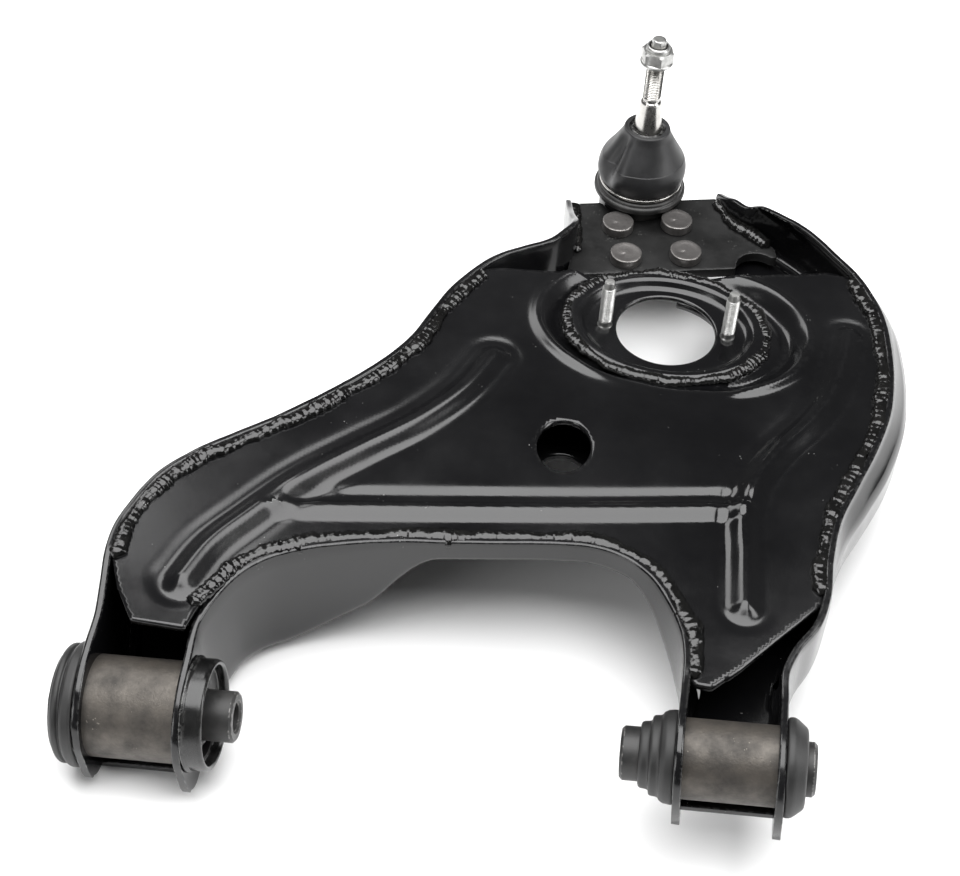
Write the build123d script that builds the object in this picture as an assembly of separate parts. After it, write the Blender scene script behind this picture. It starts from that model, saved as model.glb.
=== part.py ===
from build123d import *
import math
import os

os.makedirs("parts", exist_ok=True)

# Frame: origin at the centre of the large bushing's bore, +Z square to the arm's top plate,
# +X towards the small bushing, +Y towards the ball joint. Millimetres.

# ---- driving dimensions -------------------------------------------------------------------
pivot_rise_deg = 5.5          # the pivot axis climbs this much from the large to the small bushing
pivot_spacing = 365.0         # bushing centre to bushing centre, along the pivot axis
sheet = 5.0                   # lower shell thickness
plate_sheet = 4.0             # top plate thickness
plate_top = 50.0              # height of the top plate's upper face
wall_top = 54.0               # height of the shell's rim, a lip above the plate
body_floor = -1.0             # underside of the shell's floor under the body and the right leg
deep_floor = -42.5            # underside of the floor at the large bushing
bolt_bore_r = 9.2             # bore of both inner sleeves, for an M18 bolt
run_gap = 0.05                # radial clearance of every turning fit
loose_gap = 0.6               # clearance of parts that only pass each other

# large bushing
large_gap = 57.0              # between the ears
large_sleeve_r = 32.0
large_sleeve_wall = 3.0
large_core_r = 16.0
large_core_ends = (-56.0, 61.0)
large_collar_r = 35.0
large_collar_len = 14.0
large_flange_r = 39.5
# small bushing
small_gap = 55.5
small_sleeve_r = 24.5
small_sleeve_wall = 2.5
small_core_r = 16.5
small_core_ends = (-66.0, 51.0)
small_flange_r = 28.5

# nose and ball joint
nose_at = (275.8, 495.1)      # centre of the four rivets
nose_turn_deg = 15.0          # the nose is turned this much from the pivot axis
rivet_u = 46.8
rivet_v = 37.4
rivet_head_r = 12.2
rivet_head_h = 7.5
rivet_shank_r = 6.0
joint_plate_z = (10.0, 18.0)
joint_v = 58.0                # ball centre, ahead of the rivets' centre
ball_z = 16.0
ball_r = 17.0
liner_t = 3.0
housing_r = 30.0
ring_r = 36.0
boot_base_r = 31.0
boot_base_z = 38.0
boot_lip_r = 17.5
boot_lip_z = 86.0
boot_wall = 2.0
taper_r = 11.0
thread_r = 7.0
nut_z = (146.0, 162.0)
nut_af = 22.0
nose_len = 5.0                # of the stud's six-sided end, past the nut

# shock seat
seat_at = (294.5, 368.5)
seat_hole_r = 36.0
seat_floor = 43.0             # upper face of the seat's floor
seat_sheet = 4.0
stud_spacing = 89.0
stud_turn_deg = 3.0
stud_r = 5.0
stud_knurl_r = 5.6            # the pressed-in length below the seat's floor
stud_tip = 84.0
drain_at = (235.0, 230.0)
drain_size = (49.0, 37.0)
floor_hole_r = 48.0           # in the shell's floor, below and ahead of the seat
floor_hole_ahead = 28.5
floor_drain_r = 17.0
floor_drain_ahead = 20.0

# ---- shared placements --------------------------------------------------------------------
rise = math.radians(pivot_rise_deg)
pivot_plane = Plane(
    origin=(0, 0, 0),
    x_dir=(0, 1, 0),
    z_dir=(math.cos(rise), 0, math.sin(rise)),
)
small_centre = (pivot_spacing * math.cos(rise), 0, pivot_spacing * math.sin(rise))
small_plane = Plane(origin=small_centre, x_dir=pivot_plane.x_dir, z_dir=pivot_plane.z_dir)
nose_plane = Plane(
    origin=(nose_at[0], nose_at[1], 0),
    x_dir=(math.cos(math.radians(nose_turn_deg)), math.sin(math.radians(nose_turn_deg)), 0),
    z_dir=(0, 0, 1),
)
joint_origin = nose_plane.from_local_coords(Vector(0, joint_v, 0))
joint_plane = Plane(origin=joint_origin, x_dir=nose_plane.x_dir, z_dir=(0, 0, 1))
far = 400.0                   # larger than any height, for cutting tools


def save(solid, node):
    """Write one sub-part's STEP file."""
    solid.label = node
    export_step(solid, f"parts/{node}.step")


def prism(face, low, high):
    """A flat face in the XY plane, extruded from one height to another."""
    return extrude(Pos(0, 0, low) * face, amount=high - low, dir=(0, 0, 1))


def tube(plane, outer, inner, start, end):
    """A straight tube along a plane's normal."""
    length = end - start
    wall = Cylinder(outer, length) - Cylinder(inner, length + 2)
    return plane * Pos(0, 0, (start + end) / 2) * wall


def turned(plane, points):
    """A profile of (radius, height) points turned about a plane's normal."""
    profile = Plane.XZ * make_face(Polyline(*points, close=True))
    return plane * revolve(profile, Axis.Z, 360)


def outline(*runs):
    """A closed face from runs of points: two points make a line, more make a smooth curve."""
    edges = []
    for run in runs:
        if len(run) == 2:
            edges.append(Line(*run))
        else:
            edges.append(Spline(*run))
    return make_face(Wire(edges))


def patch(*corners):
    """A plan region with straight sides."""
    return make_face(Polyline(*corners, close=True))


def grown(face, amount):
    """A plan outline moved outward by amount, each smooth run redrawn as one curve."""
    edges = []
    for edge in offset(face, amount, kind=Kind.ARC).edges():
        if edge.geom_type == GeomType.OFFSET:
            edges.append(Spline(*[edge @ (i / 12) for i in range(13)]))
        else:
            edges.append(edge)
    return make_face(Wire.combine(edges, 0.05)[0])


# ---- plan outline of the space inside the walls -------------------------------------------
half_large = large_gap / 2
half_small = small_gap / 2
small_x = small_centre[0]


def by_small(x, y):
    """A plan point measured from the small bushing's centre."""
    return (small_x + x, y)


def by_nose(across, ahead):
    """A plan point measured from the rivets' centre, in the nose's own directions."""
    point = nose_plane.from_local_coords(Vector(across, ahead, 0))
    return (point.X, point.Y)


left_back = (167, 412)
nose_left = by_nose(-57.5, 28.5)
nose_tip_left = by_nose(-52.5, 65.5)
nose_tip_right = by_nose(61, 65.5)
nose_right = by_nose(66, 37)
right_back = by_small(61, 449)
right_notch = by_small(51, 118)
arch_right = by_small(-29, 60)
arch_left = (34, 56)
large_front = 25.0            # where the channel's walls give way to the ears
small_front = 40.0
cavity = outline(
    [(-half_large, large_front), (-half_large, 50)],
    [(-half_large, 50), (-38, 90), (-18, 155), (34, 204), (82, 256), (119, 311), (140, 369), left_back],
    [left_back, (205, 440), by_nose(-60, -5), nose_left],
    [nose_left, nose_tip_left],
    [nose_tip_left, nose_tip_right],
    [nose_tip_right, nose_right],
    [nose_right, by_nose(83.5, 1.5), by_small(32, 484), right_back],
    [right_back, by_small(83, 405), by_small(91, 345), by_small(78, 262), by_small(57, 195), right_notch],
    [right_notch, (small_x + half_small, 62)],
    [(small_x + half_small, 62), (small_x + half_small, small_front)],
    [(small_x + half_small, small_front), (small_x - half_small, small_front)],
    [(small_x - half_small, small_front), arch_right],
    [
        arch_right,
        by_small(-46, 107),
        by_small(-74, 136),
        (240, 143),
        (140, 126),
        (78, 108),
        (44, 84),
        arch_left,
    ],
    [arch_left, (half_large, large_front)],
    [(half_large, large_front), (-half_large, large_front)],
)
skin = grown(cavity, sheet)


def below_floor(lift):
    """Everything under the shell's floor surface, raised by lift."""
    slope_plane = Plane(origin=(0, 0, 0), x_dir=(0.75, 0.66, 0), z_dir=(0.66, -0.75, 0))
    slope = Polyline(
        (-far, -far),
        (-far, deep_floor + lift),
        (112, deep_floor + lift),
        (202, body_floor + lift),
        (800, body_floor + lift),
        (800, -far),
        close=True,
    )
    body = extrude(slope_plane * make_face(slope), amount=900, both=True)
    beam_start = 165
    beam_plane = Plane(origin=(beam_start, 0, 0), x_dir=(0, 1, 0), z_dir=(1, 0, 0))
    beam = Polyline(
        (90, -far),
        (90, 30 + lift),
        (144, 30 + lift),
        (190, body_floor + lift),
        (190, -far),
        close=True,
    )
    return body + extrude(beam_plane * make_face(beam), amount=small_x - 76 - beam_start)


# ---- lower shell --------------------------------------------------------------------------
outer_block = prism(skin, -60, wall_top) - below_floor(0)
inner_block = prism(cavity, -60, wall_top + 10) - below_floor(sheet)
shell = outer_block - inner_block
# the right wall swells outward below its rim
swell = 12.0
swell_top = 40.0
swell_region = [(40, 160), (140, 160), (140, 500), (62, 500), (20, 400)]
swell_outer = patch(*[by_small(*spot) for spot in swell_region])
swell_inner = patch(*[by_small(x, y + (sheet if y < 300 else -sheet)) for x, y in swell_region])
shell += prism(grown(cavity, swell + sheet) & swell_outer, body_floor, swell_top)
shell -= prism(grown(cavity, swell) & swell_inner, body_floor + sheet, swell_top - sheet)
shell -= inner_block


def ear(plane, along, profile, eye_r):
    """A clevis ear with a round eye: one sheet thick, square to the pivot axis, inner face at `along`."""
    face = make_face(Wire(profile)) + Circle(eye_r)
    outward = plane.z_dir * (1 if along > 0 else -1)
    return extrude(plane * Pos(0, 0, along) * face, amount=sheet, dir=outward)


def ear_profile(back, high, front, low):
    """Ear outline seen along the pivot axis: flat back, a rounded nose, a rounded heel."""
    return [
        Line((back, low), (back, high)),
        Spline((back, high), (front + 38, high * 0.93), (front + 8, high * 0.5), (front, 0)),
        Spline((front, 0), (front + 1, low * 0.5), (front + 6, low * 0.82), (front + 16, low)),
        Line((front + 16, low), (back, low)),
    ]


large_ears = ear_profile(46, 42, -37, deep_floor)
small_low = body_floor - small_centre[2]
small_ears = ear_profile(44, wall_top - small_centre[2], -34, small_low)
for side in (-1, 1):
    shell += ear(pivot_plane, side * half_large, large_ears, large_sleeve_r + 4.5)
    shell += ear(small_plane, side * half_small, small_ears, small_sleeve_r + 6.5)
# floor strips that pass below the sleeves and tie each pair of ears
for plane, half, low in ((pivot_plane, half_large, deep_floor), (small_plane, half_small, small_low)):
    strip = Box(66, sheet, 2 * half + 2 * sheet)
    shell += plane * Pos(-18 + 33, low + sheet / 2, 0) * strip
# open the front of both legs for the sleeves
for plane, half, sleeve_r in (
    (pivot_plane, half_large, large_sleeve_r),
    (small_plane, half_small, small_sleeve_r),
):
    shell -= plane * Cylinder(sleeve_r, 2 * half + 20)
    shell -= plane * Cylinder(sleeve_r + 5, 2 * half)
# open the front of the channel between the ears, above the floor strips
shell -= pivot_plane * Pos(large_front - 4, 12, 0) * Box(30, 98, 2 * half_large)
shell -= small_plane * Pos(small_front - 6, 10, 0) * Box(36, 72, 2 * half_small)
# room for the rubber flanges and collars outside the ears
shell -= tube(pivot_plane, large_flange_r + 1, 1, half_large + sheet, 75)
shell -= tube(pivot_plane, large_flange_r + 1, 1, -75, -half_large - sheet)
shell -= tube(small_plane, small_flange_r + 3, 1, half_small + sheet, 75)
shell -= tube(small_plane, small_flange_r + 3, 1, -75, -half_small - sheet)
# nose: open front, rim falling towards the tip, floor open under the ball joint's flange
nose_front = 51.0
shell -= nose_plane * Pos(0, nose_front + 60, 0) * Box(300, 120, far)
fall_plane = Plane(origin=nose_plane.origin, x_dir=nose_plane.y_dir, z_dir=nose_plane.x_dir)
fall = Polyline((-8, wall_top + 1), (nose_front, 23), (80, 23), (80, 90), (-8, 90), close=True)
shell -= extrude(fall_plane * make_face(fall), amount=120, both=True)
floor_window = nose_plane * Pos(8, 28, 0) * Rectangle(170, 136)
shell -= prism(floor_window & cavity, body_floor - 5, body_floor + sheet + 1)
# holes in the floor
shell -= Pos(seat_at[0], seat_at[1] + floor_hole_ahead, body_floor) * Cylinder(floor_hole_r, 30)
shell -= Pos(drain_at[0], drain_at[1] + floor_drain_ahead, body_floor) * Cylinder(floor_drain_r, 30)
shell = shell.solids().sort_by(SortBy.VOLUME)[-1]
save(shell, "lower_shell")


# ---- top plate ----------------------------------------------------------------------------
def oval(half_x, half_y, height):
    """A horizontal oval face about the shock seat's centre."""
    return Pos(seat_at[0], seat_at[1], height) * Ellipse(half_x, half_y)


plate_low = plate_top - plate_sheet
keep = make_face(
    Polyline(
        (-60, 72),
        (-24, 46),
        (-12, 28.5),
        (50, 28.5),
        (60, 90),
        by_small(-43, 90),
        by_small(-43, 50),
        by_small(-16, 46),
        by_small(57, 128),
        by_small(157, 300),
        by_small(87, 444),
        by_small(37, 452),
        (241, 432),
        (120, 420),
        (-60, 300),
        close=True,
    )
)
plate = prism(cavity & keep, plate_low, plate_top)


def ridge(points, width, height):
    """A pressed rib: a rounded bar along a smooth centre line, standing on the plate."""
    path = Spline(*[(p[0], p[1], plate_top) for p in points])
    start = Plane(origin=path @ 0, z_dir=path % 0, x_dir=(-(path % 0).Y, (path % 0).X, 0))
    arc = make_face(
        [
            ThreePointArc((-width / 2, 0), (0, height), (width / 2, 0)),
            Line((width / 2, 0), (-width / 2, 0)),
        ]
    )
    section = start * arc
    if (section.center() - start.origin).Z < 0:
        section = start * Rot(0, 0, 180) * arc
    return sweep(section, path=path)


# a shallow oval dish with a stepped ring, holding the shock seat
dish_depth = 5.0
dish_top = loft([oval(94, 70, plate_top + 0.01), oval(84, 64, plate_top - dish_depth)])
dish_under = loft([oval(98, 74, plate_low), oval(88, 68, plate_low - dish_depth)])
plate += dish_under & prism(cavity & keep, plate_low - dish_depth, plate_top)
plate -= dish_top
plate -= prism(oval(64, 50.5, 0), plate_low - 20, plate_top)
plate += ridge([(16, 100), (50, 150), (104, 200), (142, 240), (176, 306)], 22, 5)
right_rib = [(1, 116), (-2, 190), (21, 258), (51, 308), (61, 370)]
plate += ridge([by_small(*spot) for spot in right_rib], 20, 5)
plate += ridge([(92, 149), (225, 176), by_small(-11, 200)], 12, 4)
drain = Pos(drain_at[0], drain_at[1], plate_top) * Rot(0, 0, 90)
plate -= extrude(drain * SlotOverall(*drain_size), amount=20, both=True)
save(plate, "top_plate")

# ---- shock seat, an oval cup ---------------------------------------------------------------
dish_floor = plate_top - dish_depth
rim_high = dish_floor + seat_sheet
seat = prism(oval(72, 56, 0), dish_floor, rim_high)
cup_low = seat_floor - seat_sheet
seat += loft([oval(63.5, 50, dish_floor), oval(62.5, 49, cup_low)])
seat -= loft([oval(61, 47.5, rim_high + 0.01), oval(59, 45.5, seat_floor)])
seat -= Pos(seat_at[0], seat_at[1], seat_floor) * Cylinder(seat_hole_r, 30)
seat -= Pos(seat_at[0] + 26, seat_at[1] - 46, rim_high) * Cylinder(5, 40)
stud_spots = [
    Pos(seat_at[0], seat_at[1], 0) * Rot(0, 0, stud_turn_deg) * Pos(side * stud_spacing / 2, 0, 0)
    for side in (-1, 1)
]
for spot in stud_spots:
    seat -= spot * Pos(0, 0, seat_floor) * Cylinder(stud_knurl_r, 30)
save(seat, "shock_seat")

# two studs, their round heads under the seat
studs = []
for spot in stud_spots:
    shank = Pos(0, 0, (seat_floor + stud_tip - 4) / 2) * Cylinder(stud_r, stud_tip - 4 - seat_floor)
    knurl = Pos(0, 0, (cup_low + seat_floor) / 2) * Cylinder(stud_knurl_r, seat_sheet)
    point = Pos(0, 0, stud_tip - 2) * Cylinder(stud_r - 1.3, 4)
    head = Pos(0, 0, cup_low - 2.5) * Cylinder(8, 5)
    studs.append(spot * (shank + knurl + point + head))
save(Compound(studs), "shock_studs")

# ---- ball joint plate and rivets -----------------------------------------------------------
plate_shape = nose_plane * make_face(
    Polyline((-110, -34), (-110, nose_front), (110, nose_front), (110, -34), close=True)
)
joint_plate = prism(cavity & plate_shape, *joint_plate_z)
joint_plate -= joint_plane * Cylinder(housing_r + loose_gap, far)
joint_plate -= nose_plane * Pos(78, -34, 0) * Cylinder(17, far)
rivet_spots = [
    nose_plane * Pos(side * rivet_u / 2, row * rivet_v / 2, 0) for side in (-1, 1) for row in (-1, 1)
]
for spot in rivet_spots:
    joint_plate -= spot * Cylinder(rivet_shank_r, far)
save(joint_plate, "ball_joint_plate")

flange_low = joint_plate_z[0] - 8.0
rivets = []
for spot in rivet_spots:
    high = joint_plate_z[1]
    body = Pos(0, 0, (flange_low + high) / 2) * Cylinder(rivet_shank_r, high - flange_low)
    head = Pos(0, 0, high + rivet_head_h / 2) * Cylinder(rivet_head_r, rivet_head_h)
    head = chamfer(head.edges().group_by(Axis.Z)[-1], 0.8)
    tail = Pos(0, 0, flange_low - 3) * Cylinder(9.5, 6)
    rivets.append(spot * (body + head + tail))
save(Compound(rivets), "rivets")

# ---- ball joint ----------------------------------------------------------------------------
cavity_r = ball_r + liner_t + run_gap * 2
cap_seat = ball_z - 21.0
housing = turned(
    joint_plane,
    [
        (0, cap_seat - 3),
        (26, cap_seat - 3),
        (housing_r, cap_seat + 3),
        (housing_r, 26.5),
        (ring_r, 26.5),
        (ring_r, 31.5),
        (33.5, 33.5),
        (boot_base_r - 2, 33.5),
        (boot_base_r - 2, 42),
        (0, 42),
    ],
)
ears_flange = nose_plane * Pos(0, 4, 0) * RectangleRounded(86, 78, 14)
housing += prism(ears_flange, flange_low, joint_plate_z[0])
housing -= joint_plane * Pos(0, 0, ball_z) * Sphere(cavity_r)
# mouth, wide enough for the stud at full lean, and a pocket for the parts under the ball
housing -= turned(joint_plane, [(0, 20), (16.5, 20), (16.5, 27), (25.5, 43), (0, 43)])
pocket_r = 21.5
housing -= turned(joint_plane, [(0, -30), (pocket_r, -30), (pocket_r, ball_z - 4), (0, ball_z - 4)])
for spot in rivet_spots:
    housing -= spot * Cylinder(rivet_shank_r, far)
save(housing, "ball_joint_housing")

liner = Sphere(ball_r + liner_t + run_gap) - Sphere(ball_r + run_gap)
liner -= Pos(0, 0, 8 + 20) * Cylinder(30, 40)
liner -= Pos(0, 0, -11 - 20) * Cylinder(30, 40)
save(joint_plane * Pos(0, 0, ball_z) * liner, "bearing_liner")

lower_bearing = turned(
    joint_plane, [(0, cap_seat), (pocket_r, cap_seat), (pocket_r, ball_z - 6), (0, ball_z - 6)]
)
lower_bearing -= joint_plane * Pos(0, 0, ball_z) * Sphere(cavity_r)
save(lower_bearing, "lower_bearing")
save(tube(joint_plane, pocket_r, 6, cap_seat - 1.5, cap_seat), "preload_washer")
cap = turned(
    joint_plane,
    [
        (0, cap_seat - 5.5),
        (12, cap_seat - 5.5),
        (pocket_r, cap_seat - 3.5),
        (pocket_r, cap_seat - 1.5),
        (0, cap_seat - 1.5),
    ],
)
save(cap, "end_cap")

collar_low = boot_lip_z - 5.0
stud = Pos(0, 0, ball_z) * Sphere(ball_r) + turned(
    Plane.XY,
    [
        (0, ball_z),
        (8, ball_z),
        (8, 48),
        (taper_r, 74),
        (taper_r, boot_lip_z),
        (thread_r + 0.6, 111),
        (thread_r - 0.8, 111.5),
        (thread_r - 0.8, 113),
        (thread_r, 113.5),
        (thread_r, nut_z[1]),
        (0, nut_z[1]),
    ],
)
stud += Pos(0, 0, nut_z[1]) * extrude(RegularPolygon(5, 6), amount=nose_len)
save(joint_plane * stud, "ball_stud")

nut_low = nut_z[0]
nut = Pos(0, 0, nut_low + 1.5) * Cylinder(12.6, 3)
nut += Pos(0, 0, nut_low + 3) * extrude(RegularPolygon(nut_af / 2, 6, major_radius=False), amount=9)
nut += Pos(0, 0, (nut_low + 12 + nut_z[1] - 1) / 2) * Cylinder(9.3, nut_z[1] - nut_low - 13)
nut -= Pos(0, 0, nut_low) * Cylinder(thread_r, 60)
save(joint_plane * nut, "stud_nut")

boot = turned(
    joint_plane,
    [
        (boot_base_r, 34.5),
        (boot_base_r, boot_base_z),
        (boot_base_r + 1.5, 47),
        (boot_base_r - 2.5, 57),
        (boot_base_r - 9, 70),
        (boot_lip_r + 1, 80),
        (boot_lip_r, boot_lip_z),
        (boot_lip_r - boot_wall, boot_lip_z),
        (boot_lip_r - boot_wall + 1, 79),
        (boot_base_r - 11, 69),
        (boot_base_r - 4.5, 56),
        (boot_base_r - 0.5, 47),
        (boot_base_r - boot_wall, 41),
        (boot_base_r - boot_wall, 34.5),
    ],
)
save(boot, "boot")
save(tube(joint_plane, boot_base_r + 1.4, boot_base_r, 35.5, 38.0), "boot_clamp_ring")
boot_mouth_r = boot_lip_r - boot_wall - 0.3
collar_top = boot_lip_z - 0.5
save(tube(joint_plane, boot_mouth_r, taper_r + run_gap, collar_low, collar_top), "boot_collar")

# ---- large bushing ---------------------------------------------------------------------------
ear_out = half_large + sheet
core_in = large_core_r + run_gap
large_rubber_r = large_sleeve_r - large_sleeve_wall
save(tube(pivot_plane, large_sleeve_r, large_rubber_r, -ear_out, ear_out), "large_outer_sleeve")
save(tube(pivot_plane, large_core_r, bolt_bore_r, *large_core_ends), "large_inner_sleeve")
filling = tube(pivot_plane, large_rubber_r, core_in, -ear_out, ear_out + large_collar_len - 4)
# two kidney-shaped voids open at the collar end, above and below the inner sleeve
for side in (-1, 1):
    void = pivot_plane * Pos(0, side * 22.5, ear_out + large_collar_len - 14) * Box(30, 7, 24)
    filling -= void
save(filling, "large_rubber")
flange_start = -ear_out - 16.5
flange = tube(pivot_plane, large_flange_r, core_in, -ear_out - 13, -ear_out)
flange += tube(pivot_plane, large_flange_r - 6, core_in, flange_start, -ear_out - 13)
save(flange, "large_rubber_flange")
collar = tube(pivot_plane, large_collar_r, large_rubber_r, ear_out, ear_out + large_collar_len)
save(collar, "large_collar")

# ---- small bushing ---------------------------------------------------------------------------
small_out = half_small + sheet
small_in = small_core_r + run_gap
small_rubber_r = small_sleeve_r - small_sleeve_wall
save(tube(small_plane, small_sleeve_r, small_rubber_r, -small_out, small_out), "small_outer_sleeve")
save(tube(small_plane, small_core_r, bolt_bore_r, *small_core_ends), "small_inner_sleeve")
save(tube(small_plane, small_rubber_r, small_in, -small_out, small_out), "small_rubber")
steps = tube(small_plane, small_flange_r, small_in, -small_out - 9, -small_out)
steps += tube(small_plane, 24.5, small_in, -small_out - 15, -small_out - 9)
steps += tube(small_plane, 20.5, small_in, -small_out - 22, -small_out - 15)
save(steps, "small_stepped_rubber")
disc = turned(
    small_plane,
    [
        (small_in, small_out),
        (small_flange_r + 1.5, small_out),
        (small_flange_r + 1.5, small_out + 5),
        (small_flange_r - 5, small_out + 12.5),
        (small_in, small_out + 12.5),
    ],
)
save(disc, "small_rubber_flange")


# ---- weld beads --------------------------------------------------------------------------------
def bead(region, low, width, height):
    """A band of weld in the corner between a plate's upper face and the wall beside it."""
    band = cavity - grown(cavity, -width)
    return prism(band & region, low, low + height)


bead_w = 5.0
bead_h = 3.0
left_side = patch((-80, 72), (20, 76), (70, 180), (172, 380), (150, 398), (60, 420))
right_side = patch(*[by_small(*spot) for spot in ((32, 134), (107, 134), (137, 300), (77, 440), (32, 440))])
arch_side = patch(
    (15, 46), by_small(-53, 46), by_small(-25, 52), by_small(-17, 150), (200, 170), (15, 120)
)
save(bead(left_side, plate_top, bead_w, bead_h), "weld_left")
save(bead(right_side, plate_top, bead_w, bead_h), "weld_right")
save(bead(arch_side, plate_top, bead_w, bead_h), "weld_arch")
plate_rim = joint_plate_z[1]
nose_l = nose_plane * make_face(Polyline((-110, -28), (-110, 46), (-30, 46), (-30, -28), close=True))
nose_r = nose_plane * make_face(Polyline((110, -20), (110, 46), (35, 46), (35, -20), close=True))
save(bead(nose_l, plate_rim, 6, 3.5), "weld_nose_left")
save(bead(nose_r, plate_rim, 6, 3.5), "weld_nose_right")
seat_ring = prism(oval(75.5, 59, 0), dish_floor, dish_floor + 3)
seat_ring -= prism(oval(72, 56, 0), dish_floor - 1, dish_floor + 5)
save(seat_ring, "weld_seat")
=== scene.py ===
import math
import bmesh
import bpy
import numpy as np
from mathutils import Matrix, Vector


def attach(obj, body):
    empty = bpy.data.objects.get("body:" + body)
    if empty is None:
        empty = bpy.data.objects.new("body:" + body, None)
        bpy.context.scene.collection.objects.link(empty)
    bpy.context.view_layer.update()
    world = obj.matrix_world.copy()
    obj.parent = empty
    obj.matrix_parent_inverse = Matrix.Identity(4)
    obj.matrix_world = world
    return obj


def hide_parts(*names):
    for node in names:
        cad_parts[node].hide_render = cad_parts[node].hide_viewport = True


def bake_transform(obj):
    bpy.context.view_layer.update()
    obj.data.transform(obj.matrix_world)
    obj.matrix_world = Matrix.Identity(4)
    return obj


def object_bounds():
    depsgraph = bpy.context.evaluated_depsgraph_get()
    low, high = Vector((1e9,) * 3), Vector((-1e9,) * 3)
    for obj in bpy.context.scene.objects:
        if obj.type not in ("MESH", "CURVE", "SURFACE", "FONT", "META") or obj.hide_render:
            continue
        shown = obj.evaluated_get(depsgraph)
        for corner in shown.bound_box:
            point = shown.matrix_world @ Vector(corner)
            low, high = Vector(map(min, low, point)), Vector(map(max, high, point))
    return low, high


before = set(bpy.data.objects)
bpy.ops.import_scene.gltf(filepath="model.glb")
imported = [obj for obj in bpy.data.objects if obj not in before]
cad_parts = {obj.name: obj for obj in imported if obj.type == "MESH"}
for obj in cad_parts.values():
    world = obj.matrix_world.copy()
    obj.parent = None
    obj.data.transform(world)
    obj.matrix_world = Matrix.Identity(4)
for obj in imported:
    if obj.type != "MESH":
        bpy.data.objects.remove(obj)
cadBox = [list(corner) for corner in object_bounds()]
print("frame loaded, CAD box", cadBox)

# Shapes below are worked out in millimetres and put into meshes in metres.
toMetres = 0.001
mergeWithin = 2e-6      # in metres


# shapes as arrays

def smoothStep(t):
    # 0 below 0, 1 above 1, and 3 t^2 - 2 t^3 in between
    t = np.clip(t, 0.0, 1.0)
    return t * t * (3.0 - 2.0 * t)


def smoothLine(points, step):
    # a cubic through the points, with slopes weighted by the chords on both sides, read every `step` of plan
    # length
    p = np.asarray(points, float)
    flat = p[:, :2] if p.shape[1] != 3 else p
    d = np.linalg.norm(np.diff(flat, axis=0), axis=1)
    rate = np.diff(p, axis=0) / d[:, None]
    slope = np.empty_like(p)
    slope[0], slope[-1] = rate[0], rate[-1]
    slope[1:-1] = (rate[:-1] * d[1:, None] + rate[1:] * d[:-1, None]) / (d[:-1] + d[1:])[:, None]
    start = np.concatenate([[0.0], np.cumsum(d)])
    s = np.linspace(0.0, start[-1], max(3, int(round(start[-1] / step)) + 1))
    k = np.clip(np.searchsorted(start, s, side="right") - 1, 0, len(d) - 1)
    u = ((s - start[k]) / d[k])[:, None]
    span = d[k][:, None]
    return (
        p[k] * (2 * u**3 - 3 * u**2 + 1)
        + slope[k] * span * (u**3 - 2 * u**2 + u)
        + p[k + 1] * (3 * u**2 - 2 * u**3)
        + slope[k + 1] * span * (u**3 - u**2)
    )


def lumps(x, seed, count=5, finest=1.0):
    # a sum of sines of random phase, each twice as fine as the last and 0.62 as strong, about -1 to 1
    rng = np.random.default_rng(seed)
    total = np.zeros_like(x, dtype=float)
    for octave in range(count):
        wave = finest * 2.0 ** (count - 1 - octave)
        total += 0.62 ** octave * np.sin(2 * np.pi * x / wave + rng.uniform(0, 6.283))
    return total / 1.7


def gridFaces(rows, cols, ringed=True):
    # quads between neighbouring rows; ringed joins the last column to the first
    i = np.arange(rows - 1)[:, None]
    j = np.arange(cols if ringed else cols - 1)[None, :]
    k = (j + 1) % cols
    return np.stack([i * cols + j, i * cols + k, (i + 1) * cols + k, (i + 1) * cols + j], -1).reshape(-1, 4)


def closedSweep(rings):
    # rings (rows, cols, 3) joined into a skin, each end closed by a fan to its middle
    rows, cols = rings.shape[:2]
    middle = rings[[0, -1]].mean(axis=1)
    verts = np.concatenate([rings.reshape(-1, 3), middle])
    j = np.arange(cols)
    k = (j + 1) % cols
    first = np.stack([np.full(cols, rows * cols), k, j], -1)
    last = np.stack([np.full(cols, rows * cols + 1), (rows - 1) * cols + j, (rows - 1) * cols + k], -1)
    return verts, gridFaces(rows, cols).tolist() + first.tolist() + last.tolist()


def roundCorners(points, radius, steps=4):
    # each corner of an open or closed profile replaced by a curve from one side of it to the other:
    # (1 - t)^2 a + 2 t (1 - t) corner + t^2 b, where a and b are at most `radius` away along the sides
    p = np.asarray(points, float)
    out = [p[:1]]
    t = np.linspace(0, 1, steps + 1)[:, None]
    for before, corner, after in zip(p[:-2], p[1:-1], p[2:]):
        reach = [min(radius, 0.45 * np.linalg.norm(q - corner)) for q in (before, after)]
        a = corner + (before - corner) * reach[0] / max(np.linalg.norm(before - corner), 1e-9)
        b = corner + (after - corner) * reach[1] / max(np.linalg.norm(after - corner), 1e-9)
        out.append((1 - t) ** 2 * a + 2 * t * (1 - t) * corner + t**2 * b)
    out.append(p[-1:])
    return np.concatenate(out)


def lathe(place, profile, around=96, wobble=None):
    # point = origin + r cos(a) x + r sin(a) y + h z for each (r, h) of the profile; wobble changes r by
    # angle and height
    origin, xAxis, yAxis, zAxis = place
    a = np.linspace(0, 2 * np.pi, around, endpoint=False)[None, :]
    r = profile[:, 0][:, None] + np.zeros_like(a)
    h = profile[:, 1][:, None] + np.zeros_like(a)
    if wobble is not None:
        r, h = wobble(r, h, a + np.zeros_like(r))
    return (origin + (r * np.cos(a))[..., None] * xAxis + (r * np.sin(a))[..., None] * yAxis
            + h[..., None] * zAxis)


# putting arrays into the scene

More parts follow.
